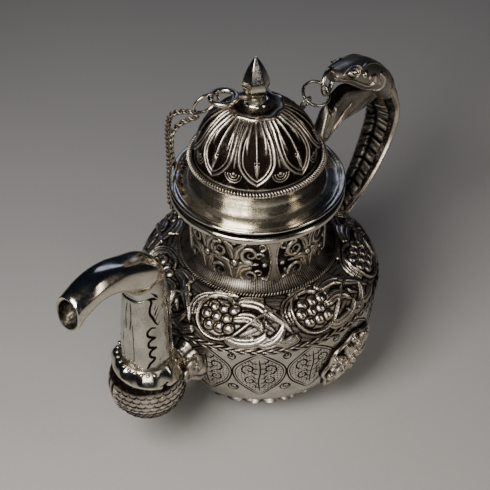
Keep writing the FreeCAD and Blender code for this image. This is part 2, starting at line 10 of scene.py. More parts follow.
import bmesh
import bpy
import numpy as np
from mathutils import Matrix, Vector


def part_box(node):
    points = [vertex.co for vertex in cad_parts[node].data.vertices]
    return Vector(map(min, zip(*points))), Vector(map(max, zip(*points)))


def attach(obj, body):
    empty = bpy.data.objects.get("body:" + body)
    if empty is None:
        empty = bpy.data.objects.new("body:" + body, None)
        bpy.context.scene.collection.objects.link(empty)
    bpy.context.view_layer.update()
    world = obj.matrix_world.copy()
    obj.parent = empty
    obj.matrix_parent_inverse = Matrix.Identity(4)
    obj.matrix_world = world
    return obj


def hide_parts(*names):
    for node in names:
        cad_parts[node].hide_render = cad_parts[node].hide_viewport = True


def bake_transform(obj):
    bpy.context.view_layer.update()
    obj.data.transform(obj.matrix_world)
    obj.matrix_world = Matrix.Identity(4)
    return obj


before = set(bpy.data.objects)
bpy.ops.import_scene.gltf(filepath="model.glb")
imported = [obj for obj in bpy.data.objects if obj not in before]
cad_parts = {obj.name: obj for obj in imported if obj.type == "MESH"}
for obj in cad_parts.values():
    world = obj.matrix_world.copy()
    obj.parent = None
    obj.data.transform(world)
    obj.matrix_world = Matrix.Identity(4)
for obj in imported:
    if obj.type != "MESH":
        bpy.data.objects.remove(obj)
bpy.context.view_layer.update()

log = logging.getLogger("pot")
MM = 0.001
FULL_TURN = 2 * math.pi
Array = np.ndarray


# ---------------------------------------------------------------- small numeric helpers
def smooth(low: float, high: float, x: Array) -> Array:
    """Smoothstep.

    Args:
        low, high: where the step starts and ends.
        x: values.

    Returns:
        3t^2 - 2t^3 with t = (x - low) / (high - low) held to 0..1.
    """
    t = np.clip((np.asarray(x, float) - low) / (high - low), 0, 1)
    return t * t * (3 - 2 * t)


def ridge(distance: Array, width: float) -> Array:
    """A rounded ridge: exp(-(distance / width)^2).

    Args:
        distance: distance from the ridge's crest, mm.
        width: half width, mm.

    Returns:
        Height from 0 to 1.
    """
    return np.exp(-np.square(np.asarray(distance) / width))


def bead(x: Array, y: Array, centre: tuple[float, float], radius: float) -> Array:
    """A round boss: sqrt(1 - (d / radius)^2) inside its radius, 0 outside.

    Args:
        x, y: coordinates on the sheet, mm.
        centre: the boss's middle.
        radius: its radius, mm.

    Returns:
        Height from 0 to 1.
    """
    square = (np.square(x - centre[0]) + np.square(y - centre[1])) / radius**2
    return np.sqrt(np.clip(1 - square, 0, 1))


def path_field(x: Array, y: Array, path: Array) -> tuple[Array, Array, Array]:
    """Where points of the sheet lie against a drawn line.

    Args:
        x, y: coordinates on the sheet, mm, any shape.
        path: (n, 2) points of the line.

    Returns:
        Distance from the line, share of the way along it, and the side (-1 or 1).
    """
    points = np.stack([x.ravel(), y.ravel()], axis=1)
    start, step = path[:-1], np.diff(path, axis=0)
    square = np.maximum((step**2).sum(1), 1e-12)
    away = points[:, None, :] - start[None, :, :]
    t = np.clip((away * step).sum(2) / square, 0, 1)
    gap = np.linalg.norm(away - t[..., None] * step, axis=2)
    nearest = gap.argmin(1)
    row = np.arange(len(points))
    length = np.concatenate([[0], np.cumsum(np.sqrt(square))])
    along = (length[nearest] + t[row, nearest] * np.sqrt(square)[nearest]) / length[-1]
    cross = step[nearest, 0] * away[row, nearest, 1] - step[nearest, 1] * away[row, nearest, 0]
    side = np.where(cross < 0, -1.0, 1.0)
    return gap[row, nearest].reshape(x.shape), along.reshape(x.shape), side.reshape(x.shape)


def spiral(centre: tuple[float, float], radius: float, turns: float, start: float, hand: int = 1) -> Array:
    """A volute that winds in: r = radius * (1 - 0.86 t), angle = start + hand * 2 pi turns t.

    Args:
        centre: the eye of the volute.
        radius: outer radius, mm.
        turns: how many turns it makes.
        start: angle of its outer end, degrees.
        hand: 1 winds anticlockwise, -1 clockwise.

    Returns:
        (n, 2) points.
    """
    t = np.linspace(0, 1, 14 + int(18 * turns))
    angle = math.radians(start) + hand * FULL_TURN * turns * t
    r = radius * (1 - 0.86 * t)
    return np.stack([centre[0] + r * np.cos(angle), centre[1] + r * np.sin(angle)], axis=1)


def curve_through(points: Array, count: int) -> Array:
    """A smooth line through given points (Catmull-Rom).

    Args:
        points: (k, d) points, k >= 2.
        count: how many points come back.

    Returns:
        (count, d) points, the first and last unchanged.
    """
    p = np.asarray(points, float)
    padded = np.vstack([2 * p[0] - p[1], p, 2 * p[-1] - p[-2]])
    at = np.linspace(0, len(p) - 1, count)
    i = np.minimum(at.astype(int), len(p) - 2)
    t = (at - i)[:, None]
    a, b, c, d = padded[i], padded[i + 1], padded[i + 2], padded[i + 3]
    return 0.5 * (2 * b + (c - a) * t + (2 * a - 5 * b + 4 * c - d) * t**2 + (3 * b - a - 3 * c + d) * t**3)


def arc(start: tuple[float, float], end: tuple[float, float], radius: float, count: int = 12) -> Array:
    """The minor arc between two points; a negative radius bulges out of a line drawn anticlockwise.

    Args:
        start, end: the arc's ends, mm.
        radius: its signed radius, mm.
        count: points on it, ends included.

    Returns:
        (count, 2) points.
    """
    a, b = np.array(start, float), np.array(end, float)
    half = b - a
    across = np.array([-half[1], half[0]]) / np.linalg.norm(half)
    reach = math.sqrt(radius**2 - (np.linalg.norm(half) / 2) ** 2)
    centre = (a + b) / 2 + across * math.copysign(reach, -radius)
    first, last = (math.atan2(*(p - centre)[::-1]) for p in (a, b))
    turn = (last - first + math.pi) % FULL_TURN - math.pi
    angle = first + turn * np.linspace(0, 1, count)
    return centre + abs(radius) * np.stack([np.cos(angle), np.sin(angle)], axis=1)


def even(line: Array, count: int) -> Array:
    """A line again, its points evenly spaced along it.

    Args:
        line: (n, d) points.
        count: how many points come back.

    Returns:
        (count, d) points.
    """
    along = np.concatenate([[0], np.cumsum(np.linalg.norm(np.diff(line, axis=0), axis=1))])
    at = np.linspace(0, along[-1], count)
    return np.stack([np.interp(at, along, line[:, k]) for k in range(line.shape[1])], axis=1)


def normals_of(line: Array) -> Array:
    """Unit normals of a plane line, to the right of its direction.

    Args:
        line: (n, 2) points.

    Returns:
        (n, 2) normals: (dz, -dr) made unit.
    """
    way = np.gradient(line, axis=0)
    normal = np.stack([way[:, 1], -way[:, 0]], axis=1)
    return normal / np.linalg.norm(normal, axis=1, keepdims=True)


def blurred(height: Array, rounds: int) -> Array:
    """A height field spread over its neighbours, round axis 0 and held at the edges of axis 1.

    Args:
        height: (n, m) heights.
        rounds: how many passes of the (1, 2, 1) / 4 mean.

    Returns:
        The blurred field.
    """
    out = height
    for _ in range(rounds):
        out = (np.roll(out, 1, 0) + 2 * out + np.roll(out, -1, 0)) / 4
        edge = np.pad(out, ((0, 0), (1, 1)), mode="edge")
        out = (edge[:, :-2] + 2 * out + edge[:, 2:]) / 4
    return out


def toning(height: Array, ground: float, rounds: int = 5, strength: float = 2.4) -> Array:
    """How black the oxide is: full in the ground and in creases, none on what a cloth can reach.

    Args:
        height: (n, m) relief, mm.
        ground: relief below this many mm is ground.
        rounds: reach of the creases, in grid steps.
        strength: how strongly creases darken, per mm of depth.

    Returns:
        0 where polished bright to 1 where black.
    """
    crease = (blurred(height, rounds) - height) * strength
    floor = 1 - smooth(ground * 0.35, ground * 1.4, height)
    top = smooth(ground * 1.4, ground * 2.9, height)
    return np.clip(np.maximum(0.94 * floor, 0.64 - 0.56 * top + crease * 1.7), 0, 1)


# ---------------------------------------------------------------- meshes
class Shade(Enum):
    """The finishes a piece can have."""

    OXIDISED = "oxidised_silver"
    POLISHED = "polished_silver"
    SATIN = "satin_silver"
    CHAIN = "chain_silver"


def grid_faces(rows: int, columns: int, wrap_rows: bool, wrap_columns: bool, first: int = 0) -> Array:
    """Quads of a grid of points stored row by row.

    Args:
        rows, columns: size of the grid.
        wrap_rows, wrap_columns: whether the last row or column meets the first.
        first: number of the grid's first point.

    Returns:
        (n, 4) point numbers.
    """
    i = np.arange(rows if wrap_rows else rows - 1)[:, None]
    j = np.arange(columns if wrap_columns else columns - 1)[None, :]
    i2, j2 = (i + 1) % rows, (j + 1) % columns
    corners = [i * columns + j, i2 * columns + j, i2 * columns + j2, i * columns + j2]
    return first + np.stack([np.broadcast_to(c, (i.size, j.size)).ravel() for c in corners], axis=1)


@dataclass
class Skin:
    """Points, faces and toning of one or more grids that make one mesh: mostly oxide, with painted shade in
    a few places.
    """

    points: list[Array] = field(default_factory=list)
    faces: list[Array] = field(default_factory=list)
    oxide_and_shade: list[Array] = field(default_factory=list)
    count: int = 0

    def add(self, points: Array, oxide_and_shade: Array | float = 0.0, wrap_rows: bool = False,
            wrap_columns: bool = False) -> "Skin":
        """Adds a grid.

        Args:
            points: (rows, columns, 3) places, mm.
            oxide_and_shade: (rows, columns) toning, or one value.
            wrap_rows, wrap_columns: whether the grid closes on itself.

        Returns:
            The same skin.
        """
        rows, columns = points.shape[:2]
        self.points.append(points.reshape(-1, 3))
        self.faces.append(grid_faces(rows, columns, wrap_rows, wrap_columns, self.count))
        self.oxide_and_shade.append(np.broadcast_to(np.asarray(oxide_and_shade, float), (rows, columns)).ravel())
        self.count += rows * columns
        return self

    def piece(self, name: str, shade: Shade, angle: float = 50.0) -> bpy.types.Object:
        """Makes the mesh object: doubles merged, faces outward, edges sharper than angle split.

        Args:
            name: the object's name.
            shade: its finish.
            angle: creases sharper than this many degrees stay crisp.

        Returns:
            The object, in the scene.
        """
        mesh = bpy.data.meshes.new(name)
        mesh.from_pydata(np.concatenate(self.points) * MM, [], np.concatenate(self.faces))
        layer = mesh.attributes.new("oxide_and_shade", "FLOAT", "POINT")
        layer.data.foreach_set("value", np.concatenate(self.oxide_and_shade).astype(np.float32))
        work = bmesh.new()
        work.from_mesh(mesh)
        bmesh.ops.remove_doubles(work, verts=work.verts, dist=2e-6)
        bmesh.ops.dissolve_degenerate(work, edges=work.edges, dist=1e-7)
        bmesh.ops.recalc_face_normals(work, faces=work.faces)
        work.to_mesh(mesh)
        work.free()
        mesh.shade_smooth()
        mesh.set_sharp_from_angle(angle=math.radians(angle))
        made = bpy.data.objects.new(name, mesh)
        bpy.context.scene.collection.objects.link(made)
        made.data.materials.append(FINISHES[shade])
        return made


def turned_grid(radius: Array, level: Array, turn: Array) -> Array:
    """Points of a surface of revolution: (r cos a, r sin a, z).

    Args:
        radius, level: (turns, k) or (k,) radii and heights, mm.
        turn: (turns,) bearings, radians.

    Returns:
        (turns, k, 3) points.
    """
    radius, level = np.broadcast_arrays(radius, level)
    radius = np.broadcast_to(radius, (len(turn), radius.shape[-1]))
    level = np.broadcast_to(level, radius.shape)
    return np.stack([radius * np.cos(turn)[:, None], radius * np.sin(turn)[:, None], level], axis=2)


def lathe(skin: Skin, outline: Array, turns: int, oxide_and_shade: Array | float = 0.0, wobble: float = 0.0) -> Skin:
    """Adds a closed outline turned once round the pot's axis.

    Args:
        skin: what it is added to.
        outline: (k, 2) closed outline of radius and height, mm; its last point isn't its first.
        turns: steps round.
        oxide_and_shade: toning of each outline point, or one value.
        wobble: hammered unevenness, mm.

    Returns:
        The same skin.
    """
    turn = np.linspace(0, FULL_TURN, turns, endpoint=False)
    dent = wobble * (np.sin(5 * turn + 1.1) + 0.6 * np.sin(11 * turn) + 0.4 * np.sin(23 * turn + 2))
    level = outline[None, :, 1] + dent[:, None] * np.linspace(0.4, 1, len(outline))[None, :]
    points = turned_grid(outline[:, 0], level, turn)
    return skin.add(points, oxide_and_shade, wrap_rows=True, wrap_columns=True)


def tube_grid(path: Array, first: Array, second: Array, sides: int, reach: Array | float) -> Array:
    """Points of a tube: path + reach * (first cos a + second sin a).

    Args:
        path: (n, 3) centre line, mm.
        first, second: (n, 3) half axes of the section.
        sides: steps round the section.
        reach: (n, sides) multiplier of the section, or one value.

    Returns:
        (n, sides, 3) points.
    """
    a = np.linspace(0, FULL_TURN, sides, endpoint=False)
    reach = np.broadcast_to(np.asarray(reach, float), (len(path), sides))[..., None]
    around = first[:, None, :] * np.cos(a)[None, :, None] + second[:, None, :] * np.sin(a)[None, :, None]
    return path[:, None, :] + reach * around


def capped(points: Array) -> Array:
    """A tube's points with both ends drawn in to their middles, so that it closes.

    Args:
        points: (n, sides, 3) points.

    Returns:
        (n + 2, sides, 3) points.
    """
    ends = [np.broadcast_to(points[k].mean(0), points[k].shape) for k in (0, -1)]
    return np.concatenate([ends[0][None], points, ends[1][None]])


def section_axes(path: Array, up: Array) -> tuple[Array, Array]:
    """Two unit axes square to a line, the first as near to up as it can be.

    Args:
        path: (n, 3) line.
        up: (3,) or (n, 3) wished direction.

    Returns:
        (n, 3) first axis and (n, 3) second axis.
    """
    way = np.gradient(path, axis=0)
    way /= np.linalg.norm(way, axis=1, keepdims=True)
    up = np.broadcast_to(np.asarray(up, float), path.shape)
    first = up - (up * way).sum(1, keepdims=True) * way
    first /= np.linalg.norm(first, axis=1, keepdims=True)
    return first, np.cross(way, first)


def wire(skin: Skin, path: Array, radius: Array | float, up: Array, sides: int = 10,
         oxide_and_shade: Array | float = 0.0, closed: bool = False) -> Skin:
    """Adds a round wire along a line.

    Args:
        skin: what it is added to.
        path: (n, 3) centre line, mm.
        radius: one radius or (n,) radii, mm.
        up: a direction that is never along the line.
        sides: steps round the wire.
        oxide_and_shade: toning.
        closed: whether the line is a loop whose last point isn't its first.

    Returns:
        The same skin.
    """
    line = np.vstack([path[-1:], path, path[:1]]) if closed else path
    first, second = section_axes(line, up)
    if closed:
        line, first, second = line[1:-1], first[1:-1], second[1:-1]
    thick = np.broadcast_to(np.asarray(radius, float), (len(line),))[:, None]
    points = tube_grid(line, first * thick, second * thick, sides, 1.0)
    if closed:
        return skin.add(points, oxide_and_shade, wrap_rows=True, wrap_columns=True)
    grid = capped(points)
    tone = np.asarray(oxide_and_shade, float)
    if tone.ndim == 1:
        tone = np.concatenate([tone[:1], tone, tone[-1:]])[:, None]
    return skin.add(grid, tone, wrap_columns=True)


def loop_path(centre: Array, normal: Array, radius: float, count: int = 48) -> Array:
    """Points round a circle in space.

    Args:
        centre, normal: its middle and axis.
        radius: its radius, mm.
        count: how many points.

    Returns:
        (count, 3) points.
    """
    normal = np.asarray(normal, float) / np.linalg.norm(normal)
    helper = np.array([0, 0, 1.0]) if abs(normal[2]) < 0.9 else np.array([1.0, 0, 0])
    a = np.cross(normal, helper)
    a /= np.linalg.norm(a)
    b = np.cross(normal, a)
    t = np.linspace(0, FULL_TURN, count, endpoint=False)[:, None]
    return np.asarray(centre, float) + radius * (a * np.cos(t) + b * np.sin(t))


def node_box(name: str) -> tuple[Array, Array]:
    """A CAD node's box in millimetres.

    Args:
        name: the node.

    Returns:
        Its lowest and highest corners.
    """
    low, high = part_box(name)
    return np.array(low, float) / MM, np.array(high, float) / MM


def settle(made: bpy.types.Object, body: str, *nodes: str) -> bpy.types.Object:
    """Has a piece ride on a body in place of CAD nodes.

    Args:
        made: the piece.
        body: the body that carries it.
        nodes: the CAD nodes that it stands for.

    Returns:
        The piece.
    """
    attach(made, body)
    if nodes:
        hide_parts(*nodes)
    log.info("%s: %d faces", made.name, len(made.data.polygons))
    return made


# ---------------------------------------------------------------- finishes
def linear(colour: str) -> tuple[float, float, float, float]:
    """An sRGB hex colour as linear values, with alpha 1.

    Args:
        colour: such as "#d8d0bc".

    Returns:
        Red, green, blue and alpha.
    """
    parts = [int(colour[i:i + 2], 16) / 255 for i in (1, 3, 5)]
    return (*(p / 12.92 if p <= 0.04045 else ((p + 0.055) / 1.055) ** 2.4 for p in parts), 1.0)


def add_node(tree: bpy.types.NodeTree, kind: str, inputs: dict | None = None, **settings) -> bpy.types.Node:
    """Adds a shader node.

    Args:
        tree: the material's tree.
        kind: the node's type, without "ShaderNode".
        inputs: socket name or number to a value or to another node's output socket.
        settings: the node's own properties.

    Returns:
        The node.
    """
    made = tree.nodes.new(f"ShaderNode{kind}")
    for name, value in settings.items():
        setattr(made, name, value)
    for name, value in (inputs or {}).items():
        if isinstance(value, bpy.types.NodeSocket):
            tree.links.new(value, made.inputs[name])
        else:
            made.inputs[name].default_value = value
    return made


@dataclass(frozen=True)
class Silver:
    """Toned silver: bright metal where cloth reaches, black sulphide in the recesses, and painted shade
    where a piece's toning carries it.

    Fields are sRGB colours, roughnesses, the scale of hand marks in mm and their depth in mm.
    """

    name: str
    bright: str
    dark: str
    rough: float
    rough_dark: float
    mark_size: float
    mark_depth: float
    spread: float = 0.25
    base_tone: float = 0.0
    pits: float = 0.0

    def build(self) -> bpy.types.Material:
        """Makes the material.

        Returns:
            The material, all procedural, on Object coordinates and the "oxide" attribute.
        """
        material = bpy.data.materials.new(self.name)
        material.use_nodes = True
        tree = material.node_tree
        shader = tree.nodes["Principled BSDF"]
        place = add_node(tree, "TexCoord").outputs["Object"]
        oxide_and_shade = add_node(tree, "Attribute", attribute_name="oxide_and_shade").outputs["Fac"]
        cloud = add_node(tree, "TexNoise", {"Vector": place, "Scale": 180.0, "Detail": 5.0,
                                            "Roughness": 0.6}).outputs["Fac"]
        fine = add_node(tree, "TexNoise", {"Vector": place, "Scale": 1.0 / (self.mark_size * MM),
                                           "Detail": 3.0, "Roughness": 0.55}).outputs["Fac"]
        drift = add_node(tree, "MapRange", {"Value": cloud, "From Min": 0.3, "From Max": 0.7,
                                            "To Min": self.base_tone - self.spread,
                                            "To Max": self.base_tone + self.spread}).outputs[0]
        speck = add_node(tree, "MapRange", {"Value": fine, "From Min": 0.35, "From Max": 0.7,
                                            "To Min": -0.12, "To Max": 0.12}).outputs[0]
        tone = add_node(tree, "Math", {0: oxide_and_shade, 1: drift}, operation="ADD").outputs[0]
        tone = add_node(tree, "Math", {0: tone, 1: speck}, operation="ADD", use_clamp=True).outputs[0]
        if self.pits:
            cells = add_node(tree, "TexVoronoi", {"Vector": place, "Scale": 1400.0}).outputs["Distance"]
            pit = add_node(tree, "MapRange", {"Value": cells, "From Min": 0.18, "From Max": 0.3,
                                              "To Min": self.pits, "To Max": 0.0}).outputs[0]
            tone = add_node(tree, "Math", {0: tone, 1: pit}, operation="ADD", use_clamp=True).outputs[0]
        colour = add_node(tree, "Mix", {0: tone, 6: linear(self.bright), 7: linear(self.dark)},
                          data_type="RGBA").outputs[2]
        rough = add_node(tree, "MapRange", {"Value": tone, "To Min": self.rough,
                                            "To Max": self.rough_dark}).outputs[0]
        bump = add_node(tree, "Bump", {"Height": fine, "Strength": 1.0,
                                       "Distance": self.mark_depth * MM}).outputs["Normal"]
        tree.links.new(colour, shader.inputs["Base Color"])
        tree.links.new(rough, shader.inputs["Roughness"])
        tree.links.new(bump, shader.inputs["Normal"])
        shader.inputs["Metallic"].default_value = 1.0
        return material


SILVERS = {
    Shade.OXIDISED: Silver("oxidised_sterling_silver_chased", "#d8ccbc", "#1c1511", 0.2, 0.6, 0.45, 0.012,
                           spread=0.22, base_tone=0.13),
    Shade.POLISHED: Silver("polished_sterling_silver_hand_finished", "#dfd7c6", "#2a241d", 0.13, 0.5, 0.9,
                           0.006, spread=0.16, base_tone=0.05),
    Shade.SATIN: Silver("satin_sterling_silver_engraved", "#d3cdc0", "#15110e", 0.2, 0.6, 0.35, 0.010,
                        spread=0.2, base_tone=0.08, pits=0.14),
    Shade.CHAIN: Silver("curb_chain_silver_worn", "#c8b8a4", "#1c1612", 0.26, 0.6, 0.3, 0.006,
                        spread=0.25, base_tone=0.15),
}
FINISHES: dict[Shade, bpy.types.Material] = {}


# ---------------------------------------------------------------- relief
@dataclass
class Relief:
    """A sheet's chased relief over one repeat, in millimetres along (x) and up (y) the sheet."""

    x: Array
    y: Array
    height: Array = field(init=False)

    def __post_init__(self) -> None:
        """Starts with flat ground."""
        self.height = np.zeros_like(self.x)

    def raise_to(self, height: Array) -> None:
        """Keeps the higher of the relief and a new shape.

        Args:
            height: the new shape, mm.
        """
        self.height = np.maximum(self.height, height)

    def boss(self, centre: tuple[float, float], radius: float, tall: float) -> None:
        """A round boss with a ring cut round it.

        Args:
            centre: its middle, mm.
            radius: its radius, mm.
            tall: its height, mm.
        """
        gap = np.hypot(self.x - centre[0], self.y - centre[1]) - radius
        self.height = self.height * smooth(-0.1, 0.45, gap)
        self.raise_to(tall * bead(self.x, self.y, centre, radius))

    def strand(self, path: Array, width: float, tall: float, taper: bool = True) -> None:
        """A rounded line that thins towards its far end.

        Args:
            path: (n, 2) points.
            width: half width at its start, mm.
            tall: height at its start, mm.
            taper: whether it thins.
        """
        gap, along, _ = path_field(self.x, self.y, path)
        share = 1 - 0.72 * along if taper else np.ones_like(along)
        self.raise_to(tall * share * np.sqrt(np.clip(1 - (gap / (width * share)) ** 2, 0, 1)))

    def leaf(self, path: Array, width: float, tall: float, ribs: int = 3) -> None:
        """An acanthus leaf: widest at a third, with ribs that run along it and a lobed edge.

        Args:
            path: (n, 2) points from its root to its tip.
            width: greatest half width, mm.
            tall: greatest height, mm.
            ribs: ribs to each side of its midrib.
        """
        gap, along, side = path_field(self.x, self.y, path)
        swell = np.clip(np.sin(np.pi * np.clip(along, 0.001, 0.999) ** 0.62), 0, 1) ** 0.75
        lobes = 1 + 0.07 * np.sin(along * 15 + side * 1.1)
        half = width * swell * lobes + 1e-3
        across = np.clip(gap / half, 0, 1.2)
        body = np.clip(1 - across**2.6, 0, 1) ** 0.5
        rib = 0.72 + 0.28 * np.abs(np.cos(np.pi * (ribs * 0.6 * across - 0.2 * along)))
        self.raise_to(tall * body * rib * smooth(0, 0.08, along) * (0.75 + 0.25 * swell))


@dataclass
class ReliefShell:
    """A turned wall whose outside carries relief: point = profile + height * its normal.

    outer runs up the outside (radius, height in mm) and inner runs back down the inside.
    """

    outer: Array
    inner: Array
    turns: int
    rows: int

    def grid(self) -> tuple[Array, Array, Array, Array]:
        """The sheet's own coordinates.

        Returns:
            Bearings (turns,), the outside's points (rows, 2), its normals and the distance up it.
        """
        turn = np.linspace(0, FULL_TURN, self.turns, endpoint=False)
        line = even(self.outer, self.rows)
        up = np.linspace(0, np.linalg.norm(np.diff(self.outer, axis=0), axis=1).sum(), self.rows)
        return turn, line, normals_of(line), up

    def skin(self, height: Array, oxide_and_shade: Array, inner_oxide: float = 0.55) -> Skin:
        """The closed wall.

        Args:
            height: (turns, rows) relief, mm.
            oxide_and_shade: (turns, rows) toning.
            inner_oxide: toning of the inside.

        Returns:
            A skin with the one wall.
        """
        turn, line, normal, _ = self.grid()
        radius = line[None, :, 0] + height * normal[None, :, 0]
        level = line[None, :, 1] + height * normal[None, :, 1]
        inside = np.broadcast_to(self.inner[None], (self.turns, *self.inner.shape))
        radius = np.concatenate([radius, inside[..., 0]], axis=1)
        level = np.concatenate([level, inside[..., 1]], axis=1)
        tone = np.concatenate([oxide_and_shade, np.full(inside.shape[:2], inner_oxide)], axis=1)
        points = turned_grid(radius, level, turn)
        return Skin().add(points, tone, wrap_rows=True, wrap_columns=True)


def sector(turn: Array, middle: float, width: float) -> tuple[Array, Array]:
    """Bearings within equal sectors.

    Args:
        turn: (n,) bearings, radians.
        middle: bearing of one sector's middle, radians.
        width: width of a sector, radians.

    Returns:
        (n,) offsets from the nearest middle, and (n,) sector numbers.
    """
    number = np.round((turn - middle) / width)
    return turn - middle - number * width, number


# ---------------------------------------------------------------- body of the pot
VIEW_BEARING = math.radians(40.0)  # the side of the pot that faces the viewer


@dataclass
class Vessel:
    """Foot, bowl, shoulder and neck of the pot, with what is chased on them."""

    wall: float = 1.2
    frames: int = 14
    shoulder_repeats: int = 7
    shoulder_first: float = math.radians(-22.0)
    panel_width: float = math.radians(66.5)
    panel_first: float = math.radians(19.7)

    def build(self) -> None:
        """Makes every piece of the vessel."""
        self.bowl()
        self.engraving()
        self.foot()
        self.girdle()
        self.shoulder()
        self.neck()
        self.collars()
        for side, name in ((1, "left"), (-1, "right")):
            self.medallion(side, name)

    def bowl_line(self) -> Array:
        """The bowl's outside, from the edge of its flat bottom up to the girdle.

        Returns:
            (n, 2) radii and heights, mm.
        """
        _, top = node_box("bowl")
        runs = [arc((17.5, 2.5), (28.98, 6.2), -14.6), arc((28.98, 6.2), (35.3, 16.9), -21.9),
                arc((35.3, 16.9), (37.3, top[2]), -64)]
        return np.vstack([runs[0], runs[1][1:], runs[2][1:]])

    def bowl(self) -> None:
        """The raised bowl: a turned wall, nearly smooth, open at the top."""
        line = even(self.bowl_line(), 90)
        inner = line - normals_of(line) * self.wall
        bottom = np.array([[0.0, 2.5], [8.0, 2.5]])
        floor = np.array([[8.0, 2.5 + self.wall], [0.0, 2.5 + self.wall]])
        outline = np.vstack([bottom, line, inner[::-6], floor])
        tone = np.full(len(outline), 0.6)
        tone[2:2 + len(line)] = 0.10 + 0.25 * (1 - smooth(5.0, 14.0, line[:, 1]))
        made = lathe(Skin(), outline, 320, tone[None, :]).piece("bowl_wall", Shade.SATIN)
        settle(made, "pot", "bowl", "bowl_lower", "bowl_floor")

    def on_bowl(self, flat: Array, bearing: float, lift: float) -> Array:
        """Wraps a drawing onto the bowl.

        Args:
            flat: (n, 2) points: mm round the girdle, mm down the side from the girdle.
            bearing: bearing of the drawing's middle, radians.
            lift: how far it stands off the wall, mm.

        Returns:
            (n, 3) points, mm.
        """
        line = even(self.bowl_line()[::-1], 200)
        down = np.linspace(0, np.linalg.norm(np.diff(line, axis=0), axis=1).sum(), 200)
        radius, level = (np.interp(flat[:, 1], down, line[:, k]) for k in (0, 1))
        normal = normals_of(line)
        out, rise = (-np.interp(flat[:, 1], down, normal[:, k]) for k in (0, 1))
        turn = bearing + flat[:, 0] / line[0, 0]
        radius, level = radius + out * lift, level + rise * lift
        return np.stack([radius * np.cos(turn), radius * np.sin(turn), level], axis=1)

    def engraving(self) -> None:
        """Cut lines on the bowl: a network of ogee frames that hold scrolls on a punched ground."""
        skin = Skin()
        ribbons = [self.cut(stroke, half) for stroke, half in self.frame_drawing()]
        for bearing in VIEW_BEARING + np.arange(self.frames) * FULL_TURN / self.frames:
            c, s = math.cos(bearing), math.sin(bearing)
            turned = np.array([[c, s, 0.0], [-s, c, 0.0], [0.0, 0.0, 1.0]])
            for ribbon in ribbons:
                skin.add(ribbon @ turned, 1.0)
        round_ = FULL_TURN * node_box("bowl")[1][0]
        border = np.linspace(0, round_, 720)
        for down in (0.9,):
            skin.add(self.cut(np.stack([border, np.full_like(border, down)], axis=1), 0.13), 1.0)
        settle(skin.piece("bowl_engraving", Shade.OXIDISED), "pot")

    def cut(self, stroke: Array, half: float) -> Array:
        """One engraved line: a ribbon lying on the wall, thin at both ends.

        Args:
            stroke: (n, 2) points on the wall's flat drawing.
            half: half its width, mm.

        Returns:
            (m, 3, 3) points, for a drawing whose middle faces +X.
        """
        line = even(stroke, max(4, int(np.linalg.norm(np.diff(stroke, axis=0), axis=1).sum() / 0.35)))
        thin = half * np.clip(np.sin(np.pi * np.linspace(0.04, 0.96, len(line))) * 2.2, 0.25, 1)[:, None]
        side = normals_of(line) * thin
        rails = [self.on_bowl(line + side, 0.0, 0.0), self.on_bowl(line, 0.0, 0.05),
                 self.on_bowl(line - side, 0.0, 0.0)]
        return np.stack(rails, axis=1)

    def frame_drawing(self) -> list[tuple[Array, float]]:
        """One ogee frame with its foliage, on the flat.

        Returns:
            Strokes as (points, half width): x is round the pot, y is down from the girdle, mm.
        """
        half = curve_through([(0.0, 1.2), (3.4, 3.2), (7.2, 6.6), (8.2, 10.2), (6.6, 15.0),
                              (2.8, 19.4), (0.0, 22.6)], 60)
        strokes = []
        for sign in (1, -1):
            flip = np.array([sign, 1.0])
            for share, width in ((1.0, 0.27), (0.9, 0.16)):
                outline = (half - (0, 11.2)) * share + (0, 11.2)
                strokes.append((outline * flip, width))
            strokes += [(spiral((3.2 * sign, 8.0), 2.5, 1.3, 100, -sign), 0.26),
                        (spiral((2.8 * sign, 13.6), 2.1, 1.25, -80, sign), 0.25),
                        (spiral((8.35 * sign, 2.7), 1.5, 1.0, 60, -sign), 0.22),
                        (spiral((8.35 * sign, 17.6), 2.0, 1.2, 120, -sign), 0.24)]
            for k in range(6):
                root = np.array([0.3 * sign, 5.4 + 2.4 * k])
                tip = root + (np.array([2.8 - 0.3 * k, -1.7]) * flip)
                bend = (root + tip) / 2 + np.array([0.2 * sign, 0.7])
                strokes.append((curve_through([root, bend, tip], 12), 0.22))
            for k in range(4):
                across = 7.4 + 0.5 * k
                strokes.append((np.array([(across * sign, 2.2), (across * sign, 3.2)]), 0.1))
        strokes.append((curve_through([(0.0, 3.6), (0.3, 9.0), (-0.3, 14.0), (0.0, 19.6)], 30), 0.24))
        for x, y in np.stack(np.meshgrid(np.arange(-6.5, 6.6, 1.0), np.arange(4.5, 19.0, 1.0)),
                -1).reshape(-1, 2):
            reach = np.interp(y, half[:, 1], half[:, 0]) * 0.84
            if 0.6 < abs(x) < reach:
                place = np.array([x + 0.25 * math.sin(7 * y), y + 0.25 * math.cos(5 * x)])
                strokes.append((np.stack([place, place + (0.42, 0.1)]), 0.24))
        return strokes

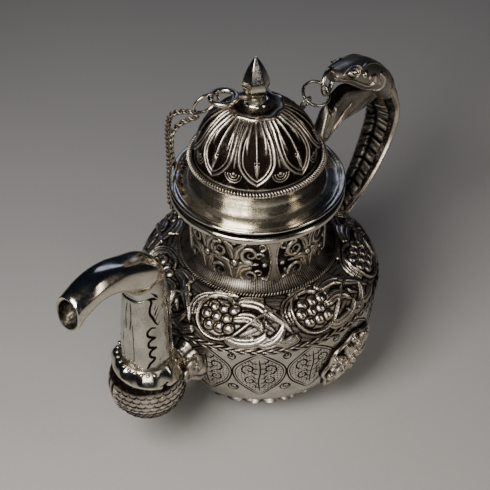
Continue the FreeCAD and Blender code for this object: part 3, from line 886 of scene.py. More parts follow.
    def foot(self) -> None:
        """The foot: a flared ring beaten into rounded petals along its edge."""
        low, high = node_box("foot_ring")
        reach, tall = high[0], high[2]
        petals = 26
        turn = np.linspace(0, FULL_TURN, petals * 24, endpoint=False)
        rows = 26
        s = np.linspace(0, 1, rows)[None, :]
        lobe = np.abs(np.sin(petals * turn / 2))[:, None] ** 0.55
        edge = smooth(0.05, 0.75, 1 - s)
        radius = (reach - 3.0) + (3.0 - 1.1 * (1 - lobe) * edge) * (1 - s) ** 1.7
        level = low[2] + tall * s**0.85 + 0.25 * (1 - lobe) * edge
        rib = 0.22 * lobe * np.sin(np.pi * np.clip(s, 0, 1))
        radius = radius + rib
        inner_r = np.broadcast_to(np.array([[reach - 5.5, reach - 5.5, reach - 2.4]]), (len(turn), 3))
        inner_z = np.broadcast_to(np.array([[low[2] + 3.0, low[2], low[2]]]), (len(turn), 3))
        radius, level = np.concatenate([radius, inner_r], axis=1), np.concatenate([level, inner_z], axis=1)
        tone = np.concatenate([1 - 0.9 * lobe * np.ones_like(s) + 0.15 * s, np.full(inner_r.shape, 0.5)],
                axis=1)
        points = turned_grid(radius, level, turn)
        made = Skin().add(points, np.clip(tone, 0, 1), wrap_rows=True, wrap_columns=True)
        settle(made.piece("foot_petals", Shade.OXIDISED), "pot", "foot_ring")

    def girdle(self) -> None:
        """Two twisted wires soldered one above the other, with opposite twists."""
        for name, hand in (("girdle_wire_upper", 1), ("girdle_wire_lower", -1)):
            low, high = node_box(name)
            made = twisted_ring((low[2] + high[2]) / 2, high[0] - (high[2] - low[2]) / 2,
                                (high[2] - low[2]) / 2, 72, hand)
            settle(made.piece(f"{name}_twist", Shade.OXIDISED), "pot", name)

    def shoulder(self) -> None:
        """The bulging shoulder: flowers of round bosses between S-shaped acanthus leaves."""
        low, high = node_box("shoulder")
        edge, crest = high[0], high[2] - 0.2
        line = np.vstack([arc((edge, low[2]), (24.8, crest), -11.8, 24), [[20.8, high[2]]]])
        inner = np.vstack([[[20.8, high[2] - self.wall]],
                           arc((24.8, crest - self.wall), (edge - self.wall, low[2]), 10.6, 12)])
        width = FULL_TURN / self.shoulder_repeats
        shell = ReliefShell(line, inner, self.shoulder_repeats * 118, 92)
        _, profile, _, up = shell.grid()
        offset = (np.arange(118) + 0.5) / 118 * width - width / 2
        x = offset[:, None] * profile[None, :, 0]
        y = np.broadcast_to(up[None, :], x.shape)
        relief = self.shoulder_repeat(x, y)
        frame_edge = smooth(0.2, 1.2, y) * (1 - smooth(17.2, 18.4, y))
        height = np.tile(relief.height * frame_edge, (self.shoulder_repeats, 1))
        tone = toning(height, 0.42)
        tone = np.where(up[None, :] > 18.6, 0.35, tone)
        first = int(round((VIEW_BEARING + self.shoulder_first) / (FULL_TURN / shell.turns))) - 59
        height, tone = (np.roll(field_, first, axis=0) for field_ in (height, tone))
        settle(shell.skin(height - 0.35, tone).piece("shoulder_chased", Shade.OXIDISED, 70), "pot",
                "shoulder")

    def shoulder_repeat(self, x: Array, y: Array) -> Relief:
        """One repeat of the shoulder's relief, drawn with its neighbours' ends.

        Args:
            x, y: mm along and up the sheet from the repeat's middle.

        Returns:
            The relief.
        """
        relief = Relief(x, y)
        weave = np.abs(np.sin(1.9 * (y + 2.4 * np.sin(0.226 * x + 0.8))))
        relief.raise_to(0.3 + 0.12 * weave)
        for shift in (-27.8, 0.0, 27.8):
            for path, wide in (
                    ([(3.6, 14.4), (8.2, 15.6), (13.2, 13.8), (17.4, 9.2), (19.8, 4.6)], 2.7),
                    ([(3.2, 4.0), (7.6, 2.4), (12.6, 2.6), (16.4, 5.2), (18.6, 9.0)], 2.3),
                    ([(4.6, 9.4), (8.4, 10.2), (12.2, 9.0), (14.8, 6.0)], 2.0),
                    ([(-6.0, 3.6), (-9.6, 2.2), (-13.4, 2.6), (-16.4, 5.0)], 1.9),
                    ([(-4.6, 16.2), (-0.6, 17.4), (4.2, 17.2)], 1.1)):
                relief.leaf(curve_through(path, 40) + (shift, 0), wide, 1.3, 3)
            for reach in (7.1, 8.1, 9.1):
                turn = np.radians(np.linspace(108, 196, 24))
                hatch = np.stack([reach * np.cos(turn) + shift, 9.4 + 0.8 * reach * np.sin(turn)], axis=1)
                relief.strand(hatch, 0.36, 0.95, taper=False)
            rim = [(4.6, 13.8), (1.0, 15.8), (-3.4, 14.8), (-5.9, 11.2), (-5.6, 6.8), (-2.6, 3.6),
                   (2.0, 2.9), (6.4, 4.9), (9.6, 8.0), (13.0, 10.9), (17.2, 12.2)]
            relief.strand(curve_through(rim, 80) + (shift, 0), 0.55, 1.45, taper=False)
            relief.strand(spiral((13.4 + shift, 14.2), 2.1, 1.4, 200, 1), 0.6, 1.25)
            for px, py in ((0.0, 9.4), (3.0, 9.2), (1.4, 12.1), (-1.7, 12.0), (-3.1, 9.4), (-1.6, 6.7),
                           (1.5, 6.6), (4.3, 12.0), (4.2, 6.5)):
                relief.boss((px * 1.08 + shift, 9.4 + 1.08 * (py - 9.4)), 1.78, 1.2)
        return relief

    def neck(self) -> None:
        """The neck: scroll panels in relief, parted by smooth hourglass bands."""
        low, _ = node_box("neck")
        top = node_box("neck_rim")[0][2]
        line = np.array([[20.7, low[2]], [20.3, top]])
        inner = np.array([[19.5, top], [19.5, low[2]]])
        shell = ReliefShell(line, inner, 660, 96)
        turn, profile, _, up = shell.grid()
        offset, _ = sector(turn, self.panel_first, self.panel_width)
        x = offset[:, None] * profile[None, :, 0]
        y = np.broadcast_to(up[None, :], x.shape)
        height = self.neck_panel(x, y, up[-1]).height
        tone = toning(height, 0.35, 4, 3.0)
        made = shell.skin(height * 0.6 - 0.05, np.minimum(tone, 0.88))
        settle(made.piece("neck_chased", Shade.OXIDISED, 70), "pot", "neck")

    def neck_panel(self, x: Array, y: Array, tall: float) -> Relief:
        """One scroll panel of the neck.

        Args:
            x, y: mm along and up the sheet from the panel's foot.
            tall: the sheet's height, mm.

        Returns:
            The relief.
        """
        relief = Relief(x, y)
        half = self.panel_width * 20.5 / 2
        pinch = 0.9 + 2.6 * np.square((y - tall / 2) / (tall / 2))
        band = half - np.abs(x)
        relief.raise_to(0.8 * smooth(-0.2, 0.3, pinch - band))
        relief.raise_to(1.15 * ridge(band - pinch, 0.3))
        relief.height *= 1 - 0.75 * ridge(band - pinch - 0.55, 0.22)
        for sign in (1, -1):
            relief.strand(spiral((4.6 * sign, 4.6), 3.2, 1.5, 180 - 90 * sign, sign), 0.9, 1.1)
            relief.strand(spiral((4.9 * sign, 12.6), 3.0, 1.4, 180 + 90 * sign, -sign), 0.9, 1.1)
            relief.leaf(curve_through([(0.4 * sign, 2.0), (2.2 * sign, 8.2), (7.6 * sign, 9.2)], 20), 1.5,
                    1.0, 2)
            relief.leaf(curve_through([(0.3 * sign, 10.0), (1.2 * sign, 14.0), (4.0 * sign, 17.0)], 18),
                        1.3, 0.95, 2)
            relief.strand(spiral((8.6 * sign, 1.9), 1.5, 1.2, 90, -sign), 0.45, 0.9)
            relief.strand(spiral((8.4 * sign, 15.6), 1.4, 1.2, -90, sign), 0.42, 0.9)
            relief.boss((9.2 * sign, 8.6), 0.75, 0.9)
            relief.strand(spiral((7.6 * sign, 12.0), 1.3, 1.2, 20, sign), 0.36, 0.8)
            relief.strand(spiral((7.4 * sign, 5.6), 1.2, 1.2, 150, -sign), 0.34, 0.8)
            relief.leaf(curve_through([(1.0 * sign, 5.4), (2.6 * sign, 6.6), (3.0 * sign, 8.4)], 12), 0.6,
                    0.8, 1)
        relief.boss((0.0, 8.8), 1.15, 1.2)
        relief.boss((0.0, 1.6), 0.8, 0.9)
        relief.boss((0.0, 16.4), 0.8, 0.9)
        return relief

    def collars(self) -> None:
        """Hatched cove and rope at the neck's foot, and the polished flange round the mouth."""
        low, high = node_box("neck_cove")
        foot = np.array([[20.6, low[2]], [23.9, low[2]], [23.9, low[2] + 0.8]])
        sweep = arc((23.9, low[2] + 0.8), (20.6, low[2] + 4.2), 4.4, 10)[1:]
        bead_line = np.array([[20.9, low[2] + 3.1]])
        outline = np.vstack([foot, sweep[:-2], bead_line, sweep[-1:]])
        hatch = 0.62 + 0.36 * (np.arange(600) % 3 == 0)
        settle(lathe(Skin(), outline, 600, hatch[:, None]).piece("neck_cove_plain", Shade.OXIDISED, 35),
                "pot", "neck_cove")
        low, high = node_box("neck_rope")
        made = twisted_ring((low[2] + high[2]) / 2, high[0] - 0.75, 0.75, 170, 1, 0.8)
        settle(made.piece("neck_rope_twist", Shade.OXIDISED), "pot", "neck_rope")
        low, high = node_box("neck_rim")
        reach = high[0]
        under, over = low[2] + 1.5, low[2] + 3.9
        edge = np.vstack([[[19.5, low[2]], [20.5, low[2]]],
                          arc((20.5, low[2]), (21.9, under), 1.6, 6)[1:], [[reach - 0.9, under]],
                          arc((reach - 0.9, under), (reach, under + 0.9), -0.95, 6)[1:],
                          arc((reach, over - 0.9), (reach - 0.9, over), -0.95, 6),
                          [[23.6, over], [23.6, high[2]], [19.5, high[2]]]])
        tone = np.where(edge[:, 0] < 25.6, 1.0, 0.08)
        made = lathe(Skin(), edge, 220, tone[None, :], 0.05).piece("mouth_flange", Shade.POLISHED, 40)
        settle(made, "pot", "neck_rim")

    def medallion(self, side: int, name: str) -> None:
        """A high-relief boss on the bowl's side: a leaf and fruit inside a beaded border.

        Args:
            side: 1 on the +Y side, -1 on the -Y side.
            name: left or right.
        """
        rings_, spokes = 74, 230
        radius = node_box(f"medallion_{name}")[1][0]
        share = np.linspace(0, 1, rings_)[:, None]
        angle = np.linspace(0, FULL_TURN, spokes, endpoint=False)[None, :]
        edge = radius * (1 + 0.045 * np.cos(8 * angle))
        x, y = share * edge * np.cos(angle), share * edge * np.sin(angle)
        relief = Relief(x, y)
        relief.raise_to(1.5 * ridge((share - 0.93) * radius, 0.6) * np.ones_like(angle))
        for k in range(6):
            way = k * FULL_TURN / 6
            root, tip = 3.0, 9.2
            bend = way + 0.28
            path = np.array([(root * math.cos(way), root * math.sin(way)),
                             (5.6 * math.cos(bend), 5.6 * math.sin(bend)),
                             (tip * math.cos(way + 0.1), tip * math.sin(way + 0.1))])
            relief.leaf(curve_through(path, 16), 2.4, 2.4, 2)
            mid = way + FULL_TURN / 12
            relief.boss((8.4 * math.cos(mid), 8.4 * math.sin(mid)), 1.6, 1.9)
        for k in range(6):
            way = k * FULL_TURN / 6
            relief.boss((2.5 * math.cos(way), 2.5 * math.sin(way)), 1.3, 2.6)
        relief.boss((0.0, 0.0), 1.3, 3.0)
        height = relief.height * (1 - smooth(0.95, 1.0, share)) + 0.15
        tone = toning(height.T, 0.5, 3, 1.8).T
        middle = node_box(f"medallion_{name}")
        centre = (middle[0][2] + middle[1][2]) / 2
        line = even(self.bowl_line(), 200)
        across = np.interp(centre + y, line[:, 1], line[:, 0])
        slope = np.gradient(line[:, 0]) / np.maximum(np.gradient(line[:, 1]), 1e-3)
        lean = np.interp(centre + y, line[:, 1], slope)
        depth = np.sqrt(np.maximum(across**2 - x**2, 1.0))
        out = np.stack([x / across, depth / across, -lean], axis=2)
        out /= np.linalg.norm(out, axis=2, keepdims=True)
        base = np.stack([x, depth, centre + y], axis=2)
        front = base + out * height[..., None]
        back = base[-1:] - out[-1:] * 0.5
        points = np.concatenate([front, back, np.broadcast_to(back.mean(1, keepdims=True), back.shape)])
        points = points * np.array([1.0, side, 1.0])
        tone = np.concatenate([tone, np.full((2, spokes), 0.9)])
        made = Skin().add(points, tone, wrap_columns=True).piece(f"medallion_{name}_chased",
                Shade.OXIDISED, 70)
        settle(made, "pot", f"medallion_{name}")


def twisted_ring(level: float, radius: float, thick: float, twists: int, hand: int,
        depth: float = 0.55) -> Skin:
    """A ring of two wires twisted together: section reach = max(|cos(a - twists * turn)|, depth).

    Args:
        level, radius: height and radius of the ring's core, mm.
        thick: radius of the twisted pair, mm.
        twists: half turns of twist round the ring.
        hand: 1 or -1.
        depth: how shallow the grooves between the wires are, 0 to 1.

    Returns:
        A skin with the ring.
    """
    count = twists * 10
    turn = np.linspace(0, FULL_TURN, count, endpoint=False)
    sides = 14
    around = np.linspace(0, FULL_TURN, sides, endpoint=False)
    groove = np.abs(np.cos(around[None, :] - hand * twists * turn[:, None] / 2))
    reach = np.maximum(groove, depth)
    path = np.stack([radius * np.cos(turn), radius * np.sin(turn), np.full(count, level)], axis=1)
    out = np.stack([np.cos(turn), np.sin(turn), np.zeros(count)], axis=1)
    up = np.broadcast_to([0.0, 0.0, 1.0], out.shape)
    grid = tube_grid(path, out * thick, up * thick, sides, reach)
    tone = 0.25 + 0.75 * (1 - smooth(depth, min(0.98, depth + 0.4), groove))
    return Skin().add(grid, np.clip(tone * 0.95, 0, 1), wrap_rows=True, wrap_columns=True)


# ---------------------------------------------------------------- lid and its finial
@dataclass
class Lid:
    """Plain flange and wall, milled ring, petalled dome, and the finial with its loop."""

    petals: int = 8
    dome_radius: float = 18.4

    def build(self) -> None:
        """Makes every piece of the lid."""
        self.plain_rings()
        self.milled_ring()
        self.dome()
        self.ruff()
        self.finial()

    def plain_rings(self) -> None:
        """The dished flange, the wall over it and the skirt under it."""
        low, high = node_box("lid_flange")
        reach, under, top = high[0], low[2], high[2] - 0.3
        outline = np.vstack([
            [[18.4, under], [reach - 0.35, under]],
            arc((reach - 0.35, under), (reach, under + 0.35), -0.38, 5)[1:],
            [[reach, top - 0.4]], arc((reach, top - 0.4), (reach - 0.5, top), -0.5, 6)[1:],
            [[reach - 1.0, top]], arc((reach - 1.0, top), (reach - 2.2, top - 0.4), -3.5, 5)[1:],
            arc((reach - 2.2, top - 0.4), (21.0, high[2]), 24, 10)[1:], [[18.4, high[2]]]])
        tone = np.where(outline[:, 0] < 22.2, 0.42, 0.03)
        tone[:2] = 1.0
        made = lathe(Skin(), outline, 256, tone[None, :], 0.05).piece("lid_flange_dished", Shade.POLISHED,
                35)
        settle(made, "lid", "lid_flange")
        low, high = node_box("lid_wall")
        reach = high[0]
        outline = np.vstack([[[19.4, low[2]], [reach, low[2]]],
                             arc((reach, low[2]), (reach - 0.5, low[2] + 3.7), 12, 8)[1:],
                             arc((reach - 0.5, low[2] + 3.7), (reach - 0.2, high[2]), 12, 8)[1:],
                             [[19.4, high[2]]]])
        tone = 0.12 + 0.55 * (1 - smooth(0.0, 1.2, outline[:, 1] - low[2])) * (outline[:, 0] > 19.5)
        made = lathe(Skin(), outline, 220, tone[None, :], 0.04).piece("lid_wall_plain", Shade.POLISHED, 35)
        settle(made, "lid", "lid_wall")
        low, high = node_box("lid_skirt")
        outline = np.array([[18.2, low[2]], [18.9, low[2]], [19.2, low[2] + 0.8], [19.2, high[2]],
                [18.2, high[2]]])
        settle(lathe(Skin(), outline, 160, 0.45).piece("lid_skirt_plain", Shade.POLISHED, 35), "lid",
                "lid_skirt")
        low, high = node_box("lid_washer")
        outline = np.array([[0.0, low[2]], [4.4, low[2]], [4.4, low[2] + 1.0], [1.4, high[2]],
                [0.0, high[2]]])
        settle(lathe(Skin(), outline, 60, 0.6).piece("lid_washer_plain", Shade.POLISHED, 35), "lid",
                "lid_washer")

    def milled_ring(self) -> None:
        """The half-round ring under the dome, cut with short slanting nicks."""
        low, high = node_box("lid_rope")
        thick = (high[2] - low[2]) / 2
        nicks, sides = 140, 16
        count = nicks * 6
        turn = np.linspace(0, FULL_TURN, count, endpoint=False)
        around = np.linspace(0, FULL_TURN, sides, endpoint=False)[None, :]
        upper = smooth(-0.9, 0.1, np.sin(around))
        cut = 0.5 + 0.5 * np.cos(nicks * turn[:, None] + 1.1 * around)
        depth = smooth(0.35, 0.8, cut) * upper
        reach = 1 - 0.42 * depth
        core = high[0] - thick
        path = np.stack([core * np.cos(turn), core * np.sin(turn), np.full(count, (low[2] + high[2]) / 2)],
                axis=1)
        out = np.stack([np.cos(turn), np.sin(turn), np.zeros(count)], axis=1)
        rise = np.broadcast_to([0.0, 0.0, 1.0], out.shape)
        grid = tube_grid(path, out * thick, rise * thick, sides, reach)
        made = Skin().add(grid, 0.06 + 0.94 * depth, wrap_rows=True, wrap_columns=True)
        settle(made.piece("lid_milled_ring", Shade.OXIDISED), "lid", "lid_rope")

    def dome(self) -> None:
        """The dome with its petals in relief on a dark ground."""
        low, _ = node_box("lid_dome")
        base, radius = low[2], self.dome_radius
        rise = np.linspace(0, math.radians(71), 40)
        outer = np.stack([radius * np.cos(rise), base + radius * np.sin(rise)], axis=1)
        inner = np.stack([(radius - 1.2) * np.cos(rise[::-3]), base + (radius - 1.2) * np.sin(rise[::-3])],
                axis=1)
        shell = ReliefShell(outer, inner, self.petals * 118, 150)
        turn, profile, _, up = shell.grid()
        offset, _ = sector(turn, VIEW_BEARING, FULL_TURN / self.petals)
        x = offset[:, None] * profile[None, :, 0]
        edge = profile[None, :, 0] * math.pi / self.petals
        y = np.broadcast_to(up[None, :], x.shape)
        height, bright = self.petal(x, y, edge)
        tone = np.clip(toning(height, 0.3, 4, 2.0) - bright, 0, 1)
        made = shell.skin(height * 0.6 - 0.2, np.clip(tone + 0.12, 0, 0.95))
        settle(made.piece("lid_dome_petals", Shade.OXIDISED, 70), "lid", "lid_dome")

    def petal(self, x: Array, y: Array, edge: Array) -> tuple[Array, Array]:
        """One petal of the dome and the ground beside it.

        Args:
            x, y: mm across the petal and up the dome from its foot.
            edge: half the sector's width at that height, mm.

        Returns:
            Relief in mm, and how much brighter than its height the silver is.
        """
        side = np.abs(x)
        outline = curve_through([(0.0, 2.0), (2.7, 4.0), (4.75, 7.0), (5.15, 10.0), (4.5, 14.0),
                                 (3.15, 18.0), (1.95, 22.4)], 50)
        gap, _, hand = path_field(side, y, outline)
        inside = gap * hand
        border = 0.95 * ridge(gap + 0.1, 0.62)
        lining = 0.75 * ridge(inside - 1.15, 0.3)
        flute = curve_through([(2.55, 9.5), (2.75, 12.0), (2.45, 15.5), (1.6, 19.0), (1.0, 22.4)], 30)
        gap_in, _, _ = path_field(side, y, flute)
        flutes = 0.9 * ridge(gap_in, 0.46) * smooth(9.0, 15.0, y)
        rib = 0.8 * ridge(side, 0.36 + 0.14 * smooth(12, 22, y)) * smooth(7.4, 8.4, y)
        drop_wide = 0.85 * np.sqrt(np.clip((y - 4.4) / 3.2, 0, 1)) * smooth(8.9, 7.8, y)
        drop = 0.95 * np.sqrt(np.clip(1 - (side / np.maximum(drop_wide, 1e-3)) ** 2, 0, 1)) * (
            drop_wide > 0.05)
        height = np.maximum.reduce([border, lining, flutes, rib, drop])
        for dx, dy in ((0.55, 8.9), (0.0, 9.3), (0.62, 8.1), (0.0, 3.3), (0.5, 3.9)):
            height = np.maximum(height, 0.55 * bead(side, y, (dx, dy), 0.3))
        between = np.hypot(edge - side, y - 4.9)
        arcs = 0.5 * (ridge(between - 0.9, 0.22) + ridge(between - 1.75, 0.22) + ridge(between - 2.55, 0.2))
        arcs = arcs * (y < 5.0) * smooth(1.0, 1.8, y) * (inside < -0.45)
        knob = 0.6 * bead(edge - side, y, (0.0, 5.0), 0.55)
        stem = 0.42 * ridge(edge - side, 0.28) * smooth(5.6, 7.5, y) * (inside < -0.5)
        height = np.maximum.reduce([height, arcs, knob, stem])
        height = height * (1 - smooth(20.4, 21.6, y)) + 0.55 * (1 - smooth(0.3, 1.0, y))
        bright = 0.35 * smooth(0.55, 0.85, height)
        return height, bright

    def ruff(self) -> None:
        """The softly lobed ring at the foot of the finial: bright outer lobes, with painted shade on its
        inner slope.
        """
        low, high = node_box("lid_ruff")
        turn = np.linspace(0, FULL_TURN, 240, endpoint=False)
        lobe = 1 + 0.035 * np.cos(9 * turn + 0.6) + 0.02 * np.cos(5 * turn)
        line = low[2] + np.array([0.7, 0.4, 0.5, 0.95, 1.45, 1.95, 2.25, 2.15, 1.85, 1.75])
        line = np.stack([[3.7, 5.6, 7.2, 7.9, 8.2, 8.0, 7.4, 6.7, 6.0, 5.2], line], axis=1)
        line = np.vstack([line, [[4.4, high[2] - 0.1], [3.7, high[2] - 0.05]]])
        share = smooth(5.0, 8.0, line[:, 0])
        radius = line[None, :, 0] * (1 + (lobe[:, None] - 1) * share[None, :])
        level = line[None, :, 1] + 0.18 * np.cos(7 * turn)[:, None] * share[None, :]
        # Painted shade: the inner slope next to the collar is painted dark for the shadow that falls into
        # the recess there; the outer lobes stay bright.
        tone = np.clip(1.0 - smooth(6.2, 7.4, line[:, 0]), 0.05, 0.85)
        points = turned_grid(radius, level, turn)
        made = Skin().add(points, tone[None, :], wrap_rows=True, wrap_columns=True)
        settle(made.piece("lid_ruff_lobed", Shade.OXIDISED, 70), "lid", "lid_ruff")

    def finial(self) -> None:
        """Collar with painted shade on its lower wall, stem, six-sided bud, loop and its solder."""
        low, high = node_box("finial_collar")
        wide = high[0]
        outline = np.vstack([[[0.0, low[2]], [wide - 0.2, low[2]], [wide - 0.2, high[2] - 1.5]],
                             arc((wide - 0.1, high[2] - 1.4), (wide - 0.5, high[2] - 0.1), -1.0, 8),
                             [[2.9, high[2]], [0.0, high[2]]]])
        # Painted shade: the collar's wall below its rolled top is painted dark for the shadow that falls
        # down to the ruff; the rolled top stays bright.
        tone = np.where(outline[:, 1] < high[2] - 1.6, 0.85, 0.03)
        settle(lathe(Skin(), outline, 90, tone[None, :]).piece("finial_collar_ring", Shade.POLISHED, 40),
               "lid", "finial_collar")
        low, high = node_box("finial_stem")
        outline = np.array([[0, low[2]], [3.0, low[2]], [2.85, low[2] + 0.5], [2.75, low[2] + 1.0],
                            [2.85, high[2] - 0.4], [3.0, high[2]], [0, high[2]]])
        settle(lathe(Skin(), outline, 90, 0.6).piece("finial_stem_turned", Shade.POLISHED, 50), "lid",
                "finial_stem")
        self.bud()
        low, high = node_box("finial_loop")
        middle, wire_radius = (low + high) / 2, (high[2] - low[2]) / 2
        radius = (high[0] - low[0]) / 2 - wire_radius
        made = wire(Skin(), loop_path(middle, (0, 0, 1), radius, 72), wire_radius, (0, 0, 1), 18, 0.22,
                closed=True)
        settle(made.piece("finial_loop_wire", Shade.POLISHED), "lid", "finial_loop")
        way = middle * (1, 1, 0) / np.linalg.norm(middle[:2])
        share = np.linspace(0, 1, 9)[:, None]
        path = way * (2.4 + 2.6 * share) + np.array([0, 0, middle[2]])
        thick = 0.75 + 0.35 * (2 * share[:, 0] - 1) ** 2
        made = wire(Skin(), path, thick, (0, 0, 1), 16, 0.5)
        settle(made.piece("finial_solder_bead", Shade.OXIDISED), "lid", "finial_solder")

    def bud(self) -> None:
        """The six-sided bud: flat faces that swell, with hand-softened edges, drawn up to a point."""
        low, high = node_box("finial_bud")
        tall = high[2] - low[2]
        share = np.linspace(0, 1, 48)
        profile = np.interp(share, [0, 0.08, 0.2, 0.28, 0.4, 0.57, 0.74, 0.88, 1.0],
                            [2.6, 3.5, 4.05, 4.15, 3.9, 3.2, 2.3, 1.35, 0.45])
        profile[1:-1] = (profile[:-2] + 2 * profile[1:-1] + profile[2:]) / 4
        turn = np.linspace(0, FULL_TURN, 96, endpoint=False)
        fold = (turn - math.radians(20) + math.pi / 6) % (math.pi / 3) - math.pi / 6
        flat = math.cos(math.pi / 6) / np.cos(math.pi / 6 - np.abs(fold))
        radius = profile[None, :] * np.minimum(flat, 0.985)[:, None]
        level = np.broadcast_to(low[2] + tall * share, radius.shape)
        close = np.zeros((len(turn), 1))
        radius = np.concatenate([close, radius, close], axis=1)
        level = np.concatenate([close + low[2], level, close + high[2] + 0.05], axis=1)
        tone = 0.25 * (1 - smooth(0.0, 0.15, np.concatenate([[0], share, [1]])))
        made = Skin().add(turned_grid(radius, level, turn), tone[None, :], wrap_rows=True)
        settle(made.piece("finial_bud_faceted", Shade.POLISHED, 17), "lid", "finial_bud")


# ---------------------------------------------------------------- limbs in the pot's middle plane
@dataclass
class Limb:
    """A bent bar in the pot's middle plane: stations of (x, z, half width, half depth) in mm."""

    stations: Array
    count: int = 140

    def spine(self) -> tuple[Array, Array, Array, Array]:
        """The bar's line.

        Returns:
            (count, 3) centres, unit normals in the plane (Y x way), half widths and half depths.
        """
        fine = curve_through(self.stations, self.count * 3)
        line = even(fine, self.count)
        centre = np.stack([line[:, 0], np.zeros(self.count), line[:, 1]], axis=1)
        way = np.gradient(centre, axis=0)
        way /= np.linalg.norm(way, axis=1, keepdims=True)
        return centre, np.cross([0.0, 1.0, 0.0], way), line[:, 2], line[:, 3]

    def grid(self, sides: int, reach: Array | float = 1.0, square: float = 1.0) -> Array:
        """Points of the bar's skin: centre + Y half_width c + normal half_depth s.

        Args:
            sides: steps round the section; angle 0 is +Y and a quarter turn is the normal, Y x way.
            reach: (count, sides) multiplier, or one value.
            square: 1 for an oval section, less for a squarer one.

        Returns:
            (count, sides, 3) points, where c and s are the cosine and sine raised to that power.
        """
        centre, normal, wide, deep = self.spine()
        angle = np.linspace(0, FULL_TURN, sides, endpoint=False)
        c, s = (np.sign(f) * np.abs(f) ** square for f in (np.cos(angle), np.sin(angle)))
        reach = np.broadcast_to(np.asarray(reach, float), (self.count, sides))
        across = (wide[:, None] * c[None, :] * reach)[..., None] * np.array([0.0, 1.0, 0.0])
        return centre[:, None, :] + across + (deep[:, None] * s[None, :] * reach)[..., None] * normal[:,
                None, :]

    def on_skin(self, share: Array, angle: Array, lift: Array | float, square: float = 1.0) -> Array:
        """Points on or over the bar's skin.

        Args:
            share: (n,) share of the way along.
            angle: (n,) angles round it, radians.
            lift: how far they stand off it, mm.
            square: as in grid.

        Returns:
            (n, 3) points.
        """
        centre, normal, wide, deep = self.spine()
        at = np.linspace(0, 1, self.count)
        c, s = (np.sign(f) * np.abs(f) ** square for f in (np.cos(angle), np.sin(angle)))
        here = np.stack([np.interp(share, at, centre[:, k]) for k in range(3)], axis=1)
        out = np.stack([np.interp(share, at, normal[:, k]) for k in range(3)], axis=1)
        across = (np.interp(share, at, wide) + lift) * c
        return here + across[:, None] * np.array([0.0, 1.0, 0.0]) + \
            ((np.interp(share, at, deep) + lift) * s)[:, None] * out


def drawn_on(skin: Skin, limb: Limb, stroke: Array, half: float, square: float, tone: float = 1.0,
             proud: float = 0.06) -> None:
    """Adds a cut or raised line on a limb.

    Args:
        skin: what it is added to.
        limb: the limb.
        stroke: (n, 2) points of (share of the way along, angle in degrees).
        half: half its width, mm.
        square: the limb's section power.
        tone: its oxide.
        proud: how far its middle stands off the skin, mm.
    """
    length = np.linalg.norm(np.diff(limb.spine()[0], axis=0), axis=1).sum()
    girth = np.median(limb.spine()[2:], axis=1).mean()
    scale = np.array([length, girth * math.pi / 180])
    flat = stroke * scale
    steps = max(6, int(np.linalg.norm(np.diff(flat, axis=0), axis=1).sum() / 0.22))
    flat = even(flat, steps)
    thin = half * np.clip(np.sin(np.pi * np.linspace(0.05, 0.95, steps)) * 2.4, 0.3, 1)[:, None]
    side = normals_of(flat) * thin
    rows = []
    for offset, lift in ((1, -0.03), (0, proud), (-1, -0.03)):
        at = (flat + side * offset) / scale
        rows.append(limb.on_skin(at[:, 0], np.radians(at[:, 1]), lift, square))
    skin.add(np.stack(rows, axis=1), tone)


